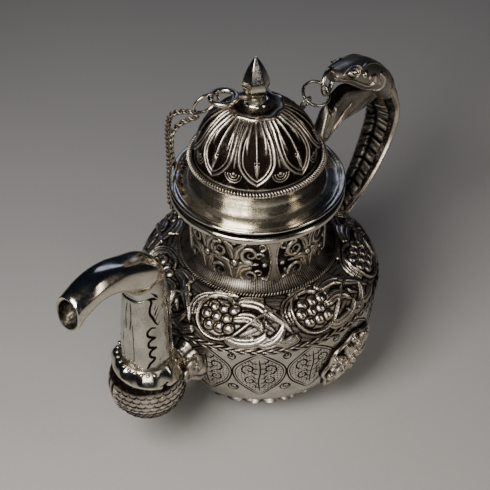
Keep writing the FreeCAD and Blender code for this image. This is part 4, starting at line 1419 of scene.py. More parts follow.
# ---------------------------------------------------------------- spout
@dataclass
class Spout:
    """A beast's mouth on the pot's side, a flat-faced column that rises from it, and the pouring trunk."""

    column: Limb = field(default_factory=lambda: Limb(np.array([
        (51.0, 32.5, 7.0, 7.0), (51.0, 38.0, 6.6, 7.6), (50.7, 48.0, 6.2, 7.5), (50.0, 57.0, 5.9, 7.2),
        (50.1, 64.0, 5.5, 6.3), (51.4, 67.6, 5.0, 5.0)]), 170))
    trunk: Limb = field(default_factory=lambda: Limb(np.array([
        (46.4, 67.2, 4.7, 2.8), (48.6, 69.4, 5.4, 4.4), (52.0, 71.4, 5.5, 5.1), (56.6, 73.4, 5.15, 5.0),
        (62.2, 76.0, 4.8, 4.4), (68.4, 76.9, 4.6, 4.2), (74.4, 75.8, 4.4, 4.0), (78.2, 74.0, 4.25, 3.85)]),
        150))
    square: float = 0.8

    def build(self) -> None:
        """Makes every piece of the spout."""
        self.collar()
        self.throat()
        self.lip()
        self.column_skin()
        self.engraving()
        self.trunk_skin()
        self.fin()
        self.curls()

    def collar(self) -> None:
        """The lobed root that joins the throat to the bowl."""
        line = curve_through([(33.6, 9.0), (36.9, 8.7), (39.2, 7.0), (41.0, 6.7), (43.4, 7.9),
                (45.0, 8.3)], 44)
        turn = np.linspace(0, FULL_TURN, 260, endpoint=False)
        lobes = np.abs(np.cos(5 * turn))[:, None] ** 0.7
        share = np.linspace(0, 1, len(line))[None, :]
        swell = 0.75 * np.sin(np.pi * np.clip(share * 1.25, 0, 1)) + 0.5 * np.sin(np.pi
                * np.clip(share * 3 - 2, 0, 1))
        reach = line[None, :, 1] + swell * (lobes - 0.45)
        tone = np.clip(0.85 - 0.95 * lobes * np.ones_like(share) + 0.3 * np.abs(share - 0.55), 0, 1)
        grid = np.stack([np.broadcast_to(line[None, :, 0], reach.shape), reach * np.cos(turn)[:, None],
                         25.0 + reach * np.sin(turn)[:, None]], axis=2)
        caps = [np.broadcast_to([x, 0.0, 25.0], (len(turn), 1, 3)) for x in (line[0, 0], line[-1, 0])]
        grid = np.concatenate([caps[0], grid, caps[1]], axis=1)
        tone = np.concatenate([tone[:, :1], tone, tone[:, -1:]], axis=1)
        made = Skin().add(grid, tone, wrap_rows=True).piece("spout_collar_lobed", Shade.OXIDISED, 70)
        settle(made, "pot", "spout_collar")

    def throat(self) -> None:
        """The ball of the throat: overlapping scales below, upright flutes towards the front."""
        low, high = node_box("spout_throat")
        middle = (low + high) / 2
        radius = (high[1] - low[1]) / 2
        middle = np.array([middle[0], 0.0, low[2] + radius])
        polar = np.linspace(0.0, math.radians(152), 150)[None, :]
        turn = np.linspace(0, FULL_TURN, 420, endpoint=False)[:, None]
        down = polar * radius
        rows = 1.75
        level = down / rows
        row = np.floor(level)
        around = np.maximum(np.sin(polar), 0.12) * radius
        number = np.maximum(np.round(FULL_TURN * np.maximum(np.sin((row + 0.5) * rows / radius), 0.1)
                * radius / 2.7), 4)
        x = (turn / FULL_TURN * number + 0.5 * (row % 2)) % 1 - 0.5
        y = level - row
        tip = np.sqrt(np.clip(1 - (2 * x) ** 2, 0, 1))
        gap = (0.35 + 0.6 * tip) - (1 - y)
        scale = 0.42 * smooth(-0.05, 0.14, -gap) * (0.55 + 0.45 * y) + 0.2 * ridge(gap + 0.1, 0.12)
        flute = 0.5 * np.abs(np.cos(turn * 13)) ** 0.8
        bearing = np.degrees((turn + math.pi) % FULL_TURN - math.pi)
        front = smooth(8, 0, np.abs(bearing + 42) - 24) * np.ones_like(polar)
        front = front * smooth(math.radians(60), math.radians(75), polar)
        height = scale * (1 - front) + flute * front
        border = 0.75 * ridge((np.abs(bearing + 42) - 27) * math.pi / 180 * around, 0.45)
        height = np.maximum(height, border * smooth(math.radians(45), math.radians(60), polar))
        reach = radius - 0.25 + height
        grid = np.stack([reach * np.sin(polar) * np.cos(turn), reach * np.sin(polar) * np.sin(turn),
                         -reach * np.cos(polar) + 0 * turn], axis=2) + middle
        crescent = np.clip(ridge(gap - 0.04, 0.13) * 1.2, 0, 1)
        tone = (0.08 + 0.9 * crescent) * (1 - front) + (1 - 0.85 * smooth(0.22, 0.46, flute)) * front
        tone = np.maximum(tone, smooth(math.radians(106), math.radians(114), polar))
        close = np.broadcast_to(grid[:, -1:].mean(0, keepdims=True), grid[:, -1:].shape)
        grid = np.concatenate([grid, close], axis=1)
        tone = np.concatenate([tone, np.ones_like(tone[:, :1])], axis=1)
        made = Skin().add(grid, tone, wrap_rows=True).piece("spout_throat_scales", Shade.OXIDISED, 70)
        settle(made, "pot", "spout_throat")

    def lip(self) -> None:
        """The ruffled, rolled lip round the root of the column, with beads inside its front edge."""
        low, high = node_box("spout_lip")
        middle = (low + high) / 2
        radius = (high[1] - low[1]) / 2
        skin = Skin()
        count = 360
        turn = np.linspace(0, FULL_TURN, count, endpoint=False)
        wave = 0.5 * np.cos(7 * turn + 0.8) + 0.3 * np.cos(12 * turn)
        slant = -0.2 * radius * np.cos(turn - math.radians(115))
        line = curve_through([(radius - 3.8, 2.7), (radius - 2.6, 2.3), (radius - 1.4, 1.0),
                (radius - 0.5, -0.7),
                              (radius - 0.1, -1.9), (radius - 0.5, -2.1), (radius - 1.3, -0.9),
                              (radius - 3.8, 1.4)], 40)
        share = smooth(radius - 3.0, radius, line[:, 0])
        reach = line[None, :, 0] + 0.4 * wave[:, None] * share[None, :]
        level = middle[2] + line[None, :, 1] + (0.75 * wave + slant)[:, None] * (0.35 + 0.65
                * share[None, :])
        points = np.stack([middle[0] + reach * np.cos(turn)[:, None], reach * np.sin(turn)[:, None],
                level], axis=2)
        under = np.arange(len(line)) > 21
        tone = np.where(under, 0.9, 0.02 + 0.5 * smooth(radius - 1.6, radius - 3.2, line[:, 0]))
        skin.add(points, tone[None, :], wrap_rows=True, wrap_columns=True)
        made = skin.piece("spout_lip_ruffled", Shade.POLISHED, 70)
        settle(made, "pot", "spout_lip")
        beads = Skin()
        for bearing in np.radians(np.arange(-110, 60, 13)):
            place = np.array([middle[0] + (radius - 2.1) * math.cos(bearing), (radius - 2.1)
                    * math.sin(bearing),
                              middle[2] + 2.0 - 0.16 * radius * math.cos(bearing - math.radians(115))])
            polar = np.linspace(0, math.pi, 9)[None, :]
            spin = np.linspace(0, FULL_TURN, 14, endpoint=False)[:, None]
            ball = np.stack([np.sin(polar) * np.cos(spin), np.sin(polar) * np.sin(spin), np.cos(polar) + 0
                    * spin], 2)
            beads.add(place + ball * (0.72, 0.72, 0.5), smooth(0.55, 0.1, ball[..., 2]), wrap_rows=True)
        settle(beads.piece("spout_lip_beads", Shade.OXIDISED, 70), "pot")

    def column_skin(self) -> None:
        """The column: a closed bar with softly flattened faces, satin."""
        sides = 120
        angle = np.linspace(0, FULL_TURN, sides, endpoint=False)[None, :]
        share = np.linspace(0, 1, self.column.count)[:, None]
        facet = 1 + 0.012 * np.cos(6 * angle + 0.4) + 0.004 * np.sin(40 * share + 3 * angle)
        grid = self.column.grid(sides, facet, self.square)
        tone = 0.05 + 0.5 * (1 - smooth(0.02, 0.10, share)) * np.ones_like(angle)
        made = Skin().add(capped(grid), np.pad(tone, ((1, 1), (0, 0)), mode="edge"), wrap_columns=True)
        settle(made.piece("spout_column_skin", Shade.SATIN, 70), "pot", "spout_column")

    def engraving(self) -> None:
        """Cut lines on both faces of the column: flames, a scalloped edge and fine lines."""
        skin = Skin()
        for mirror in (1, -1):
            def turned(points: list[tuple[float, float]]) -> Array:
                share, angle = np.array(points, float).T
                return np.stack([share, angle if mirror > 0 else 180 - angle], axis=1)

            flame = [(0.93, 34), (0.90, 24), (0.85, 20), (0.80, 26), (0.74, 27), (0.69, 20), (0.63, 13),
                    (0.59, 7)]
            drawn_on(skin, self.column, curve_through(turned(flame), 40), 0.42, self.square)
            back = [(0.93, 34), (0.88, 12), (0.80, -4), (0.72, -12), (0.66, -4), (0.59, 7)]
            drawn_on(skin, self.column, curve_through(turned(back), 40), 0.5, self.square)
            leaf = [(0.97, 12), (0.86, 2), (0.70, -5), (0.52, -8), (0.34, -9), (0.18, -4), (0.09, 6)]
            drawn_on(skin, self.column, curve_through(turned(leaf), 50), 0.75, self.square)
            inner = [(0.80, -18), (0.56, -24), (0.30, -20)]
            drawn_on(skin, self.column, curve_through(turned(inner), 30), 0.4, self.square)
            for root in (0.86, 0.80, 0.74):
                vein = [(root, -2), (root - 0.05, 8), (root - 0.10, 14)]
                drawn_on(skin, self.column, curve_through(turned(vein), 12), 0.28, self.square)
            scallop = [(0.57, 12), (0.585, 24), (0.555, 35), (0.515, 34), (0.495, 25), (0.475, 13),
                    (0.47, 24),
                       (0.445, 33), (0.405, 32), (0.385, 22), (0.37, 12), (0.365, 23), (0.34, 31),
                       (0.30, 30),
                       (0.275, 20), (0.25, 22), (0.225, 33), (0.19, 40), (0.17, 52), (0.175, 60)]
            drawn_on(skin, self.column, curve_through(turned(scallop), 130), 0.42, self.square)
            for root in (0.52, 0.42, 0.33):
                tick = [(root, 46), (root - 0.012, 52)]
                drawn_on(skin, self.column, turned(tick), 0.13, self.square)
            for angle, low, high in ((78, 0.18, 0.62), (86, 0.55, 0.86), (66, 0.62, 0.80),
                    (60, 0.66, 0.72)):
                fine = [(low, angle), ((low + high) / 2, angle - 2), (high, angle + 1)]
                drawn_on(skin, self.column, curve_through(turned(fine), 24), 0.12, self.square)
            for root in (0.27, 0.22, 0.17):
                curl = [(root, -14), (root - 0.02, 0), (root - 0.045, 8), (root - 0.055, -2),
                        (root - 0.04, -10)]
                drawn_on(skin, self.column, curve_through(turned(curl), 24), 0.24, self.square)
            for step in range(4):
                base = 98 - 17 * step
                loop = [(0.10, base - 8), (0.135, base - 6), (0.15, base), (0.135, base + 6),
                        (0.10, base + 8)]
                drawn_on(skin, self.column, curve_through(turned(loop), 24), 0.22, self.square)
        settle(skin.piece("spout_engraving", Shade.OXIDISED, 180), "pot")

    def trunk_skin(self) -> None:
        """The trunk: hammered flats, polished, open at its end with a dark bore."""
        sides = 96
        angle = np.linspace(0, FULL_TURN, sides, endpoint=False)[None, :]
        share = np.linspace(0, 1, self.trunk.count)[:, None]
        flats = 1 + 0.016 * np.cos(5 * angle + 9 * share) + 0.006 * np.sin(17 * share - 2 * angle)
        step = 0.05 * smooth(0.12, 0.16, share) - 0.05
        flare = 0.05 * smooth(0.93, 1.0, share)
        centre, _, _, deep = self.trunk.spine()
        way = np.gradient(centre, axis=0)
        way /= np.linalg.norm(way, axis=1, keepdims=True)
        slant = (smooth(0.72, 1.0, share) * deep[:, None] * np.sin(angle) * 0.7)[..., None] * way[:, None,
                :]
        outer = self.trunk.grid(sides, flats + flare + step + 0.02, 0.86) + slant
        bore = (self.trunk.grid(sides, 0.82, 0.9) + slant)[:self.trunk.count // 3:-4]
        end = outer[-1:]
        rim = (end + bore[:1]) / 2 + way[-1] * 0.2
        shut = np.broadcast_to(bore[-1].mean(0), bore[-1:].shape)
        root = np.broadcast_to(outer[0].mean(0), outer[:1].shape)
        grid = np.concatenate([root, outer, rim, bore, shut])
        tone = np.concatenate([np.full(1, 0.3), 0.35 * (1 - smooth(0.0, 0.08, share[:, 0])), [0.1],
                               0.9 + 0.1 * np.linspace(0, 1, len(bore)), [1.0]])
        made = Skin().add(grid, tone[:, None], wrap_columns=True)
        settle(made.piece("spout_trunk_skin", Shade.POLISHED, 60), "pot", "spout_trunk")

    def fin(self) -> None:
        """The crest behind the column: a leaf plate whose edge waves, with ridges down it."""
        low, high = node_box("spout_fin")
        edge = curve_through([(45.2, 38.0), (41.9, 38.6), (41.5, 41.5), (42.5, 45.6), (41.4, 50.0),
                (41.2, 54.0),
                              (42.2, 58.0), (41.6, 62.0), (43.6, 66.2), (45.9, 68.7)], 90)
        root = curve_through([(47.2, 38.2), (46.2, 42.0), (46.0, 50.0), (45.8, 57.0), (46.0, 63.0),
                (47.0, 67.8)], 90)
        share = np.linspace(0, 1, 36)[None, :, None]
        sheet = root[:, None, :] * (1 - share) + edge[:, None, :] * share
        along = np.linspace(0, 1, 90)[:, None]
        u = share[..., 0]
        thick = (high[1] - low[1]) / 2 * (1.15 - 0.75 * u) * np.clip(np.sin(np.pi * (0.06 + 0.88 * along))
                * 3, 0.2, 1)
        ridges = 0.42 * np.cos(FULL_TURN * (2.2 * u + 0.35 * np.sin(9 * along)))
        side = thick * (1 + ridges * 0.8)
        tone = np.clip(0.7 - 0.6 * ridges - 0.7 * smooth(0.86, 0.96, u), 0, 1)
        left = np.stack([sheet[..., 0], side, sheet[..., 1]], axis=2)
        right = left[:, ::-1] * np.array([1.0, -1.0, 1.0])
        grid = np.concatenate([left, right], axis=1)
        tone = np.concatenate([tone, tone[:, ::-1]], axis=1)
        ends = [np.broadcast_to(grid[k].mean(0), grid[k].shape)[None] for k in (0, -1)]
        grid = np.concatenate([ends[0], grid, ends[1]])
        tone = np.pad(tone, ((1, 1), (0, 0)), mode="edge")
        made = Skin().add(grid, tone, wrap_columns=True).piece("spout_fin_leaf", Shade.OXIDISED, 60)
        settle(made, "pot", "spout_fin")

    def curls(self) -> None:
        """Fat volutes at the jaw's corners: two to a side, rolled in on themselves."""
        for side, name in ((1, "left"), (-1, "right")):
            low, high = node_box(f"spout_curl_{name}")
            middle = (low + high) / 2
            skin = Skin()
            for dx, dz, size, lean in ((0.0, 0.4, 2.9, 0.0), (1.9, -2.6, 2.5, 0.7),
                    (-2.2, -2.9, 2.2, -0.5)):
                t = np.linspace(0, 1, 70)
                angle = 1.9 + lean + FULL_TURN * 1.15 * t
                reach = size * (1 - 0.72 * t)
                path = middle + np.stack([dx + reach * np.cos(angle), side
                        * (0.4 + 1.1 * t - 0.2 * abs(dz)),
                                          dz + reach * np.sin(angle)], axis=1)
                thick = 1.25 * size / 3.1 * np.clip(np.sin(np.pi * (0.1 + 0.86 * (1 - t))) * 1.4, 0.35, 1)
                wire(skin, path, thick, (0, 1, 0), 14, 0.05 + 0.5 * t)
            settle(skin.piece(f"spout_curl_{name}_rolled", Shade.OXIDISED, 70), "pot", f"spout_curl_{name}")


# ---------------------------------------------------------------- handle
@dataclass
class Handle:
    """A dragon: a strap for its neck, a scuted belly inside, and a head that bites the flange."""

    strap: Limb = field(default_factory=lambda: Limb(np.array([
        (-35.6, 29.4, 2.5, 2.2), (-43.0, 32.2, 2.9, 2.3), (-50.4, 37.2, 3.9, 2.3), (-57.8, 44.4, 4.9, 2.4),
        (-64.0, 54.0, 5.7, 2.6), (-66.0, 63.6, 6.0, 2.9), (-63.0, 71.6, 5.9, 3.6),
        (-60.6, 75.2, 5.8, 4.1)]), 230))
    head: Limb = field(default_factory=lambda: Limb(np.array([
        (-63.4, 71.0, 5.7, 3.7), (-57.8, 78.6, 5.9, 4.7), (-51.2, 83.8, 5.4, 4.8), (-44.6, 87.2, 4.3, 3.6),
        (-39.2, 88.9, 3.0, 2.2), (-36.2, 89.1, 2.1, 1.5)]), 190))
    belly: Limb = field(default_factory=lambda: Limb(np.array([
        (-41.3, 32.9, 2.1, 1.9), (-48.7, 37.7, 2.9, 1.9), (-56.1, 44.9, 3.6, 1.95), (-62.2, 54.4, 4.2, 2.1),
        (-64.1, 62.6, 4.4, 2.3), (-61.2, 70.4, 4.3, 2.8)]), 300))

    def build(self) -> None:
        """Makes every piece of the handle."""
        self.strap_skin()
        self.belly_skin()
        self.boss()
        self.head_skin()
        self.jaw()
        self.eyes_and_ears()

    def strap_skin(self) -> None:
        """The neck: two bright flanges along its edges and rows of scales down its back."""
        sides = 132
        angle = np.linspace(0, FULL_TURN, sides, endpoint=False)[None, :]
        share = np.linspace(0, 1, self.strap.count)[:, None]
        length = np.linalg.norm(np.diff(self.strap.spine()[0], axis=0), axis=1).sum()
        outward = smooth(0.12, 0.4, -np.sin(angle))
        row = share * length / 1.9
        x = ((angle / FULL_TURN * 2 * 8 + 0.5 * (np.floor(row) % 2)) % 1) - 0.5
        y = row - np.floor(row)
        gap = (0.3 + 0.62 * np.sqrt(np.clip(1 - (2 * x) ** 2, 0, 1))) - y
        scale = 0.32 * smooth(0.0, 0.12, gap) * (0.5 + 0.5 * y) * outward
        flange = 0.9 * ridge((np.abs(np.sin(angle)) - 0.02) * 3.4, 0.75)
        flange = flange * (np.cos(angle) ** 2)
        scale = scale * smooth(0.42, 0.6, np.abs(np.sin(angle)))
        height = np.maximum(scale, flange) * smooth(0.0, 0.06, share)
        wide = self.strap.spine()[2]
        reach = 1 + (height - 0.25) / np.maximum(wide, 1)[:, None]
        grid = self.strap.grid(sides, reach, 0.82)
        tone = np.clip(0.95 - height / 0.30, 0, 1)
        tone = np.where(np.sin(angle) > 0.35, 0.8, 0.85 * tone)
        made = Skin().add(capped(grid), np.pad(tone, ((1, 1), (0, 0)), mode="edge"), wrap_columns=True)
        settle(made.piece("handle_strap_scales", Shade.OXIDISED, 70), "pot", "handle_strap")

    def belly_skin(self) -> None:
        """The belly: two columns of block-like scutes that meet in a groove."""
        sides = 112
        angle = np.linspace(0, FULL_TURN, sides, endpoint=False)[None, :]
        share = np.linspace(0, 1, self.belly.count)[:, None]
        length = np.linalg.norm(np.diff(self.belly.spine()[0], axis=0), axis=1).sum()
        inward = smooth(0.1, 0.35, np.sin(angle))
        centre = np.abs(np.cos(angle))
        row = share * length / 4.2 + 0.4 * centre
        y = np.abs(row - np.round(row)) * 4.2
        block = smooth(0.1, 0.5, y) * smooth(0.03, 0.17, centre) * (1 - smooth(0.86, 0.97, centre))
        bulge = 0.8 * block * (0.75 + 0.25 * np.sin(np.pi * np.clip(y / 2.1, 0, 1)))
        height = inward * bulge
        wide = self.belly.spine()[2]
        reach = 1 + (height - 0.3) / np.maximum(wide, 1)[:, None] * 1.6
        grid = self.belly.grid(sides, reach, 0.85)
        tone = np.clip(0.62 + 0.38 * (1 - block) + 0.1 * np.sin(row * 9), 0, 1)
        made = Skin().add(capped(grid), np.pad(tone, ((1, 1), (0, 0)), mode="edge"), wrap_columns=True)
        settle(made.piece("handle_belly_scutes", Shade.OXIDISED, 70), "pot", "handle_belly")

    def boss(self) -> None:
        """The lobed boss where the neck springs from the bowl."""
        middle = np.array([-36.6, 0.0, 29.6])
        polar = np.linspace(0, math.pi, 60)[None, :]
        turn = np.linspace(0, FULL_TURN, 160, endpoint=False)[:, None]
        lobes = np.abs(np.cos(5 * turn)) ** 0.6 * np.sin(polar)
        reach = 4.6 + 0.6 * lobes
        grid = np.stack([-reach * np.cos(polar) + 0 * turn, reach * np.sin(polar) * np.cos(turn),
                         reach * np.sin(polar) * np.sin(turn)], axis=2) + middle
        made = Skin().add(grid, np.clip(1 - 1.1 * lobes, 0, 1), wrap_rows=True)
        settle(made.piece("handle_boss_lobed", Shade.OXIDISED, 70), "pot", "handle_boss")

    def head_skin(self) -> None:
        """The head: brow, cheek, lip line and mane, all in one skin with cut grooves."""
        sides = 180
        angle = np.linspace(0, FULL_TURN, sides, endpoint=False)[None, :]
        share = np.linspace(0, 1, self.head.count)[:, None]
        side = -np.degrees(np.arcsin(np.clip(np.sin(angle), -1, 1))) * np.ones_like(share)
        length = np.linalg.norm(np.diff(self.head.spine()[0], axis=0), axis=1).sum()
        x, y = share * length * np.ones_like(angle), side * 0.085
        relief = Relief(x, y)
        relief.raise_to(0.9 * ridge(y - 5.6 + 0.10 * (x - 14), 0.9) * smooth(6, 12, x)
                * (1 - smooth(30, 36, x)))
        relief.leaf(curve_through([(25.5, 2.2), (20.5, 4.4), (14.5, 4.8), (8.0, 3.6)], 40), 1.35, 1.2, 2)
        relief.strand(curve_through([(34.0, -0.4), (29.0, -1.2), (24.0, -2.6), (19.0, -3.0), (16.4, -1.2),
                                     (17.8, 0.5), (19.8, -0.2)], 60), 0.85, 1.3, taper=False)
        relief.strand(curve_through([(33.0, -3.2), (27.0, -4.6), (22.0, -5.4), (16.0, -5.6), (12.5, -3.6)],
                40),
                      0.7, 1.0, taper=False)
        relief.leaf(curve_through([(14.8, 1.6), (11.6, 0.4), (10.6, -2.4), (12.0, -4.6)], 40), 1.6, 1.35, 2)
        relief.strand(spiral((12.8, 0.4), 2.0, 1.2, 30, 1), 0.6, 1.2)
        relief.leaf(curve_through([(9.4, 5.0), (5.6, 3.6), (2.6, 0.6), (0.6, -3.6)], 40), 1.5, 1.1, 3)
        relief.leaf(curve_through([(8.6, 1.2), (5.0, -0.8), (2.4, -3.6), (1.0, -6.2)], 40), 1.3, 1.0, 3)
        relief.raise_to(0.75 * np.ones_like(x))
        relief.boss((27.6, 2.0), 2.3, 1.9)
        relief.boss((27.9, 2.1), 0.75, 2.1)
        relief.strand(curve_through([(31.5, 2.4), (29.2, 4.2), (26.6, 4.6), (24.6, 3.2)], 30), 0.55, 1.5,
                taper=False)
        relief.boss((34.4, 3.4), 0.9, 0.9)
        fade = smooth(0.0, 0.04, share) * (1 - 0.7 * smooth(0.93, 1.0, share))
        height = relief.height * fade
        wide = self.head.spine()[2]
        reach = 1 + (1.2 * height - 0.65) / np.maximum(wide, 1.6)[:, None]
        grid = self.head.grid(sides, reach, 0.9)
        tone = 0.8 * toning(height.T, 0.4, 4, 2.0).T - 0.1
        made = Skin().add(capped(grid), np.pad(tone, ((1, 1), (0, 0)), mode="edge"), wrap_columns=True)
        settle(made.piece("handle_head_chased", Shade.OXIDISED, 70), "pot", "handle_head")

    def jaw(self) -> None:
        """The lower jaw: a thick leaf plate that runs down on to the mouth flange."""
        _, high = node_box("handle_jaw")
        upper = curve_through([(-26.3, 69.9), (-27.6, 71.2), (-29.4, 73.4), (-32.0, 78.4), (-34.4, 81.8),
                               (-37.4, 83.6), (-41.0, 84.2), (-46.0, 82.2), (-52.4, 78.8), (-58.6, 74.6)],
                               110)
        lower = curve_through([(-26.6, 68.0), (-29.6, 67.8), (-33.0, 68.4), (-37.0, 69.8), (-41.0, 70.3),
                               (-46.0, 69.8), (-50.0, 69.2), (-54.0, 69.4), (-57.5, 70.2), (-60.0, 71.0)],
                               110)
        v = np.linspace(0, 1, 60)[None, :, None]
        sheet = lower[:, None, :] * (1 - v) + upper[:, None, :] * v
        x, y = sheet[..., 0], sheet[..., 1]
        relief = Relief(x, y)
        relief.raise_to(0.42 * np.ones_like(x))
        relief.strand(np.stack([upper[8:, 0], upper[8:, 1] - 0.7], axis=1), 0.75, 0.95, taper=False)
        relief.leaf(curve_through([(-30.6, 70.0), (-33.4, 73.6), (-35.6, 77.4), (-36.4, 80.0)], 40), 1.4,
                1.0, 2)
        relief.leaf(curve_through([(-33.6, 69.8), (-38.0, 72.2), (-42.0, 75.2), (-44.6, 77.2)], 40), 2.1,
                1.2, 3)
        relief.leaf(curve_through([(-40.0, 71.0), (-45.6, 71.8), (-51.0, 73.4), (-55.0, 74.0)], 40), 1.6,
                1.0, 2)
        relief.strand(curve_through([(-28.4, 69.2), (-34.0, 69.6), (-40.0, 71.3), (-50.0, 70.3),
                (-57.0, 71.0)], 50),
                      0.5, 0.8, taper=False)
        relief.boss((-34.6, 79.0), 1.0, 1.3)
        edge = np.minimum(v[..., 0], 1 - v[..., 0])
        roundness = np.sqrt(np.clip(edge * 5, 0.02, 1))
        along = np.linspace(0, 1, 110)[:, None]
        ends = np.sqrt(np.clip(np.minimum(along, 1 - along) * 14, 0.03, 1))
        thick = (high[1] * (0.9 + 0.25 * smooth(0.3, 1.0, along)) - 0.5) * roundness * ends
        face = thick + relief.height * roundness * 0.9
        wedge = smooth(0.72, 0.8, v[..., 0]) * smooth(0.34, 0.42, along)
        tone = np.maximum(0.75 * toning(relief.height.T, 0.4, 3, 2.0).T, wedge)
        face = face - 1.3 * wedge * roundness
        left = np.stack([x, face, y], axis=2)
        right = left[:, ::-1] * np.array([1.0, -1.0, 1.0])
        grid = np.concatenate([left, right], axis=1)
        tone = np.concatenate([tone, tone[:, ::-1]], axis=1)
        caps = [np.broadcast_to(grid[k].mean(0), grid[k].shape)[None] for k in (0, -1)]
        grid = np.concatenate([caps[0], grid, caps[1]])
        made = Skin().add(grid, np.pad(tone, ((1, 1), (0, 0)), mode="edge"), wrap_columns=True)
        settle(made.piece("handle_jaw_leaf", Shade.OXIDISED, 60), "pot", "handle_jaw")

    def eyes_and_ears(self) -> None:
        """Ball eyes under the brow, and ears curled back along the mane."""
        for side, name in ((1, "left"), (-1, "right")):
            polar = np.linspace(0, math.pi, 30)[None, :]
            spin = np.linspace(0, FULL_TURN, 44, endpoint=False)[:, None]
            ball = np.stack([np.sin(polar) * np.cos(spin), np.cos(polar) + 0 * spin,
                             np.sin(polar) * np.sin(spin)], axis=2)
            outer = side * ball[..., 1]
            tone = np.clip(1 - smooth(-0.1, 0.45, outer) + 0.9 * smooth(0.93, 0.97, outer), 0, 1)
            grid = np.array([-47.6, side * 3.9, 86.4]) + ball * 1.75
            made = Skin().add(grid, tone, wrap_rows=True).piece(f"handle_eye_{name}_ball", Shade.OXIDISED,
                    70)
            settle(made, "pot", f"handle_eye_{name}")
            t = np.linspace(0, 1, 60)
            start = np.array([-54.4, side * 4.9, 81.4])
            curl = np.stack([-5.2 * t + 1.2 * np.sin(5.2 * t), side * (0.4 * np.sin(np.pi * t) - 0.3 * t),
                             -4.6 * t + 0.9 * np.cos(5.2 * t)], axis=1)
            thick = 1.15 * np.clip(np.sin(np.pi * (0.16 + 0.82 * t)) * 1.2, 0.2, 1)
            made = wire(Skin(), start + curl, thick, (0, 1, 0), 16, 0.1 + 0.3 * t)
            settle(made.piece(f"handle_ear_{name}_curled", Shade.OXIDISED, 70), "pot", f"handle_ear_{name}")


# ---------------------------------------------------------------- loose rings and the chain
@dataclass
class Hardware:
    """The thick ring through the snout, the thin ring in it, and the two round links."""

    def build(self) -> None:
        """Makes every ring from the box of its CAD node."""
        tilt = math.radians(13.0)
        self.ring("nose_ring", "pot", (-math.sin(tilt), math.cos(tilt), 0.0), 3.9, 0.75, 0.1)
        self.ring("handle_ring", "handle_ring", self.normal_of("handle_ring", 4.2, 0.5), 4.2, 0.5, 0.35)
        self.ring("handle_link", "handle_link", self.normal_of("handle_link", 2.2, 0.4), 2.2, 0.4, 0.4)
        self.ring("finial_link", "finial_link", self.normal_of("finial_link", 3.9, 0.45), 3.9, 0.45, 0.15)

    def normal_of(self, node: str, radius: float, thick: float) -> Array:
        """The axis of a ring, from how wide its box is each way.

        Args:
            node: the ring's CAD node.
            radius, thick: radii of the ring and of its wire, mm.

        Returns:
            (3,) axis: half a side of the box is radius * sqrt(1 - n_i^2) + thick.
        """
        low, high = node_box(node)
        share = np.clip(((high - low) / 2 - thick) / radius, 0, 1)
        return np.sqrt(1 - share**2) * self.signs[node]

    @property
    def signs(self) -> dict[str, Array]:
        """Which way each ring's axis points along X, Y and Z."""
        return {"handle_ring": np.array([1.0, 1.0, 1.0]), "handle_link": np.array([1.0, 1.0, -1.0]),
                "finial_link": np.array([1.0, 1.0, -1.0])}

    def ring(self, node: str, body: str, normal: tuple[float, float, float] | Array, radius: float,
            thick: float,
             tone: float) -> None:
        """One ring of round wire with its soldered joint.

        Args:
            node: the CAD node that it stands for.
            body: what it rides on.
            normal: its axis.
            radius, thick: radii of the ring and of its wire, mm.
            tone: its oxide.
        """
        low, high = node_box(node)
        path = loop_path((low + high) / 2, normal, radius, 90)
        turn = np.linspace(0, FULL_TURN, 90, endpoint=False)
        joint = 1 + 0.10 * np.exp(-((turn - 2.2) / 0.12) ** 2) - 0.06 * np.exp(-((turn - 2.2) / 0.03) ** 2)
        made = wire(Skin(), path, thick * joint, normal, 18, tone, closed=True)
        settle(made.piece(f"{node}_wire", Shade.POLISHED, 70), body, node)


def by_loop(out: float, side: float, level: float) -> tuple[float, float, float]:
    """A point that far along the finial loop's direction, that far across it, and at that height.

    Args:
        out, side, level: mm.

    Returns:
        The point in metres.
    """
    turn = math.radians(-50.0)
    return ((math.cos(turn) * out - math.sin(turn) * side) * MM,
            (math.sin(turn) * out + math.cos(turn) * side) * MM, level * MM)


def around(bearing: float, radius: float, level: float) -> tuple[float, float, float]:
    """A point at a bearing from the spout.

    Args:
        bearing: degrees.
        radius, level: distance from the axis and height, mm.

    Returns:
        The point in metres.
    """
    turn = math.radians(bearing)
    return radius * math.cos(turn) * MM, radius * math.sin(turn) * MM, level * MM


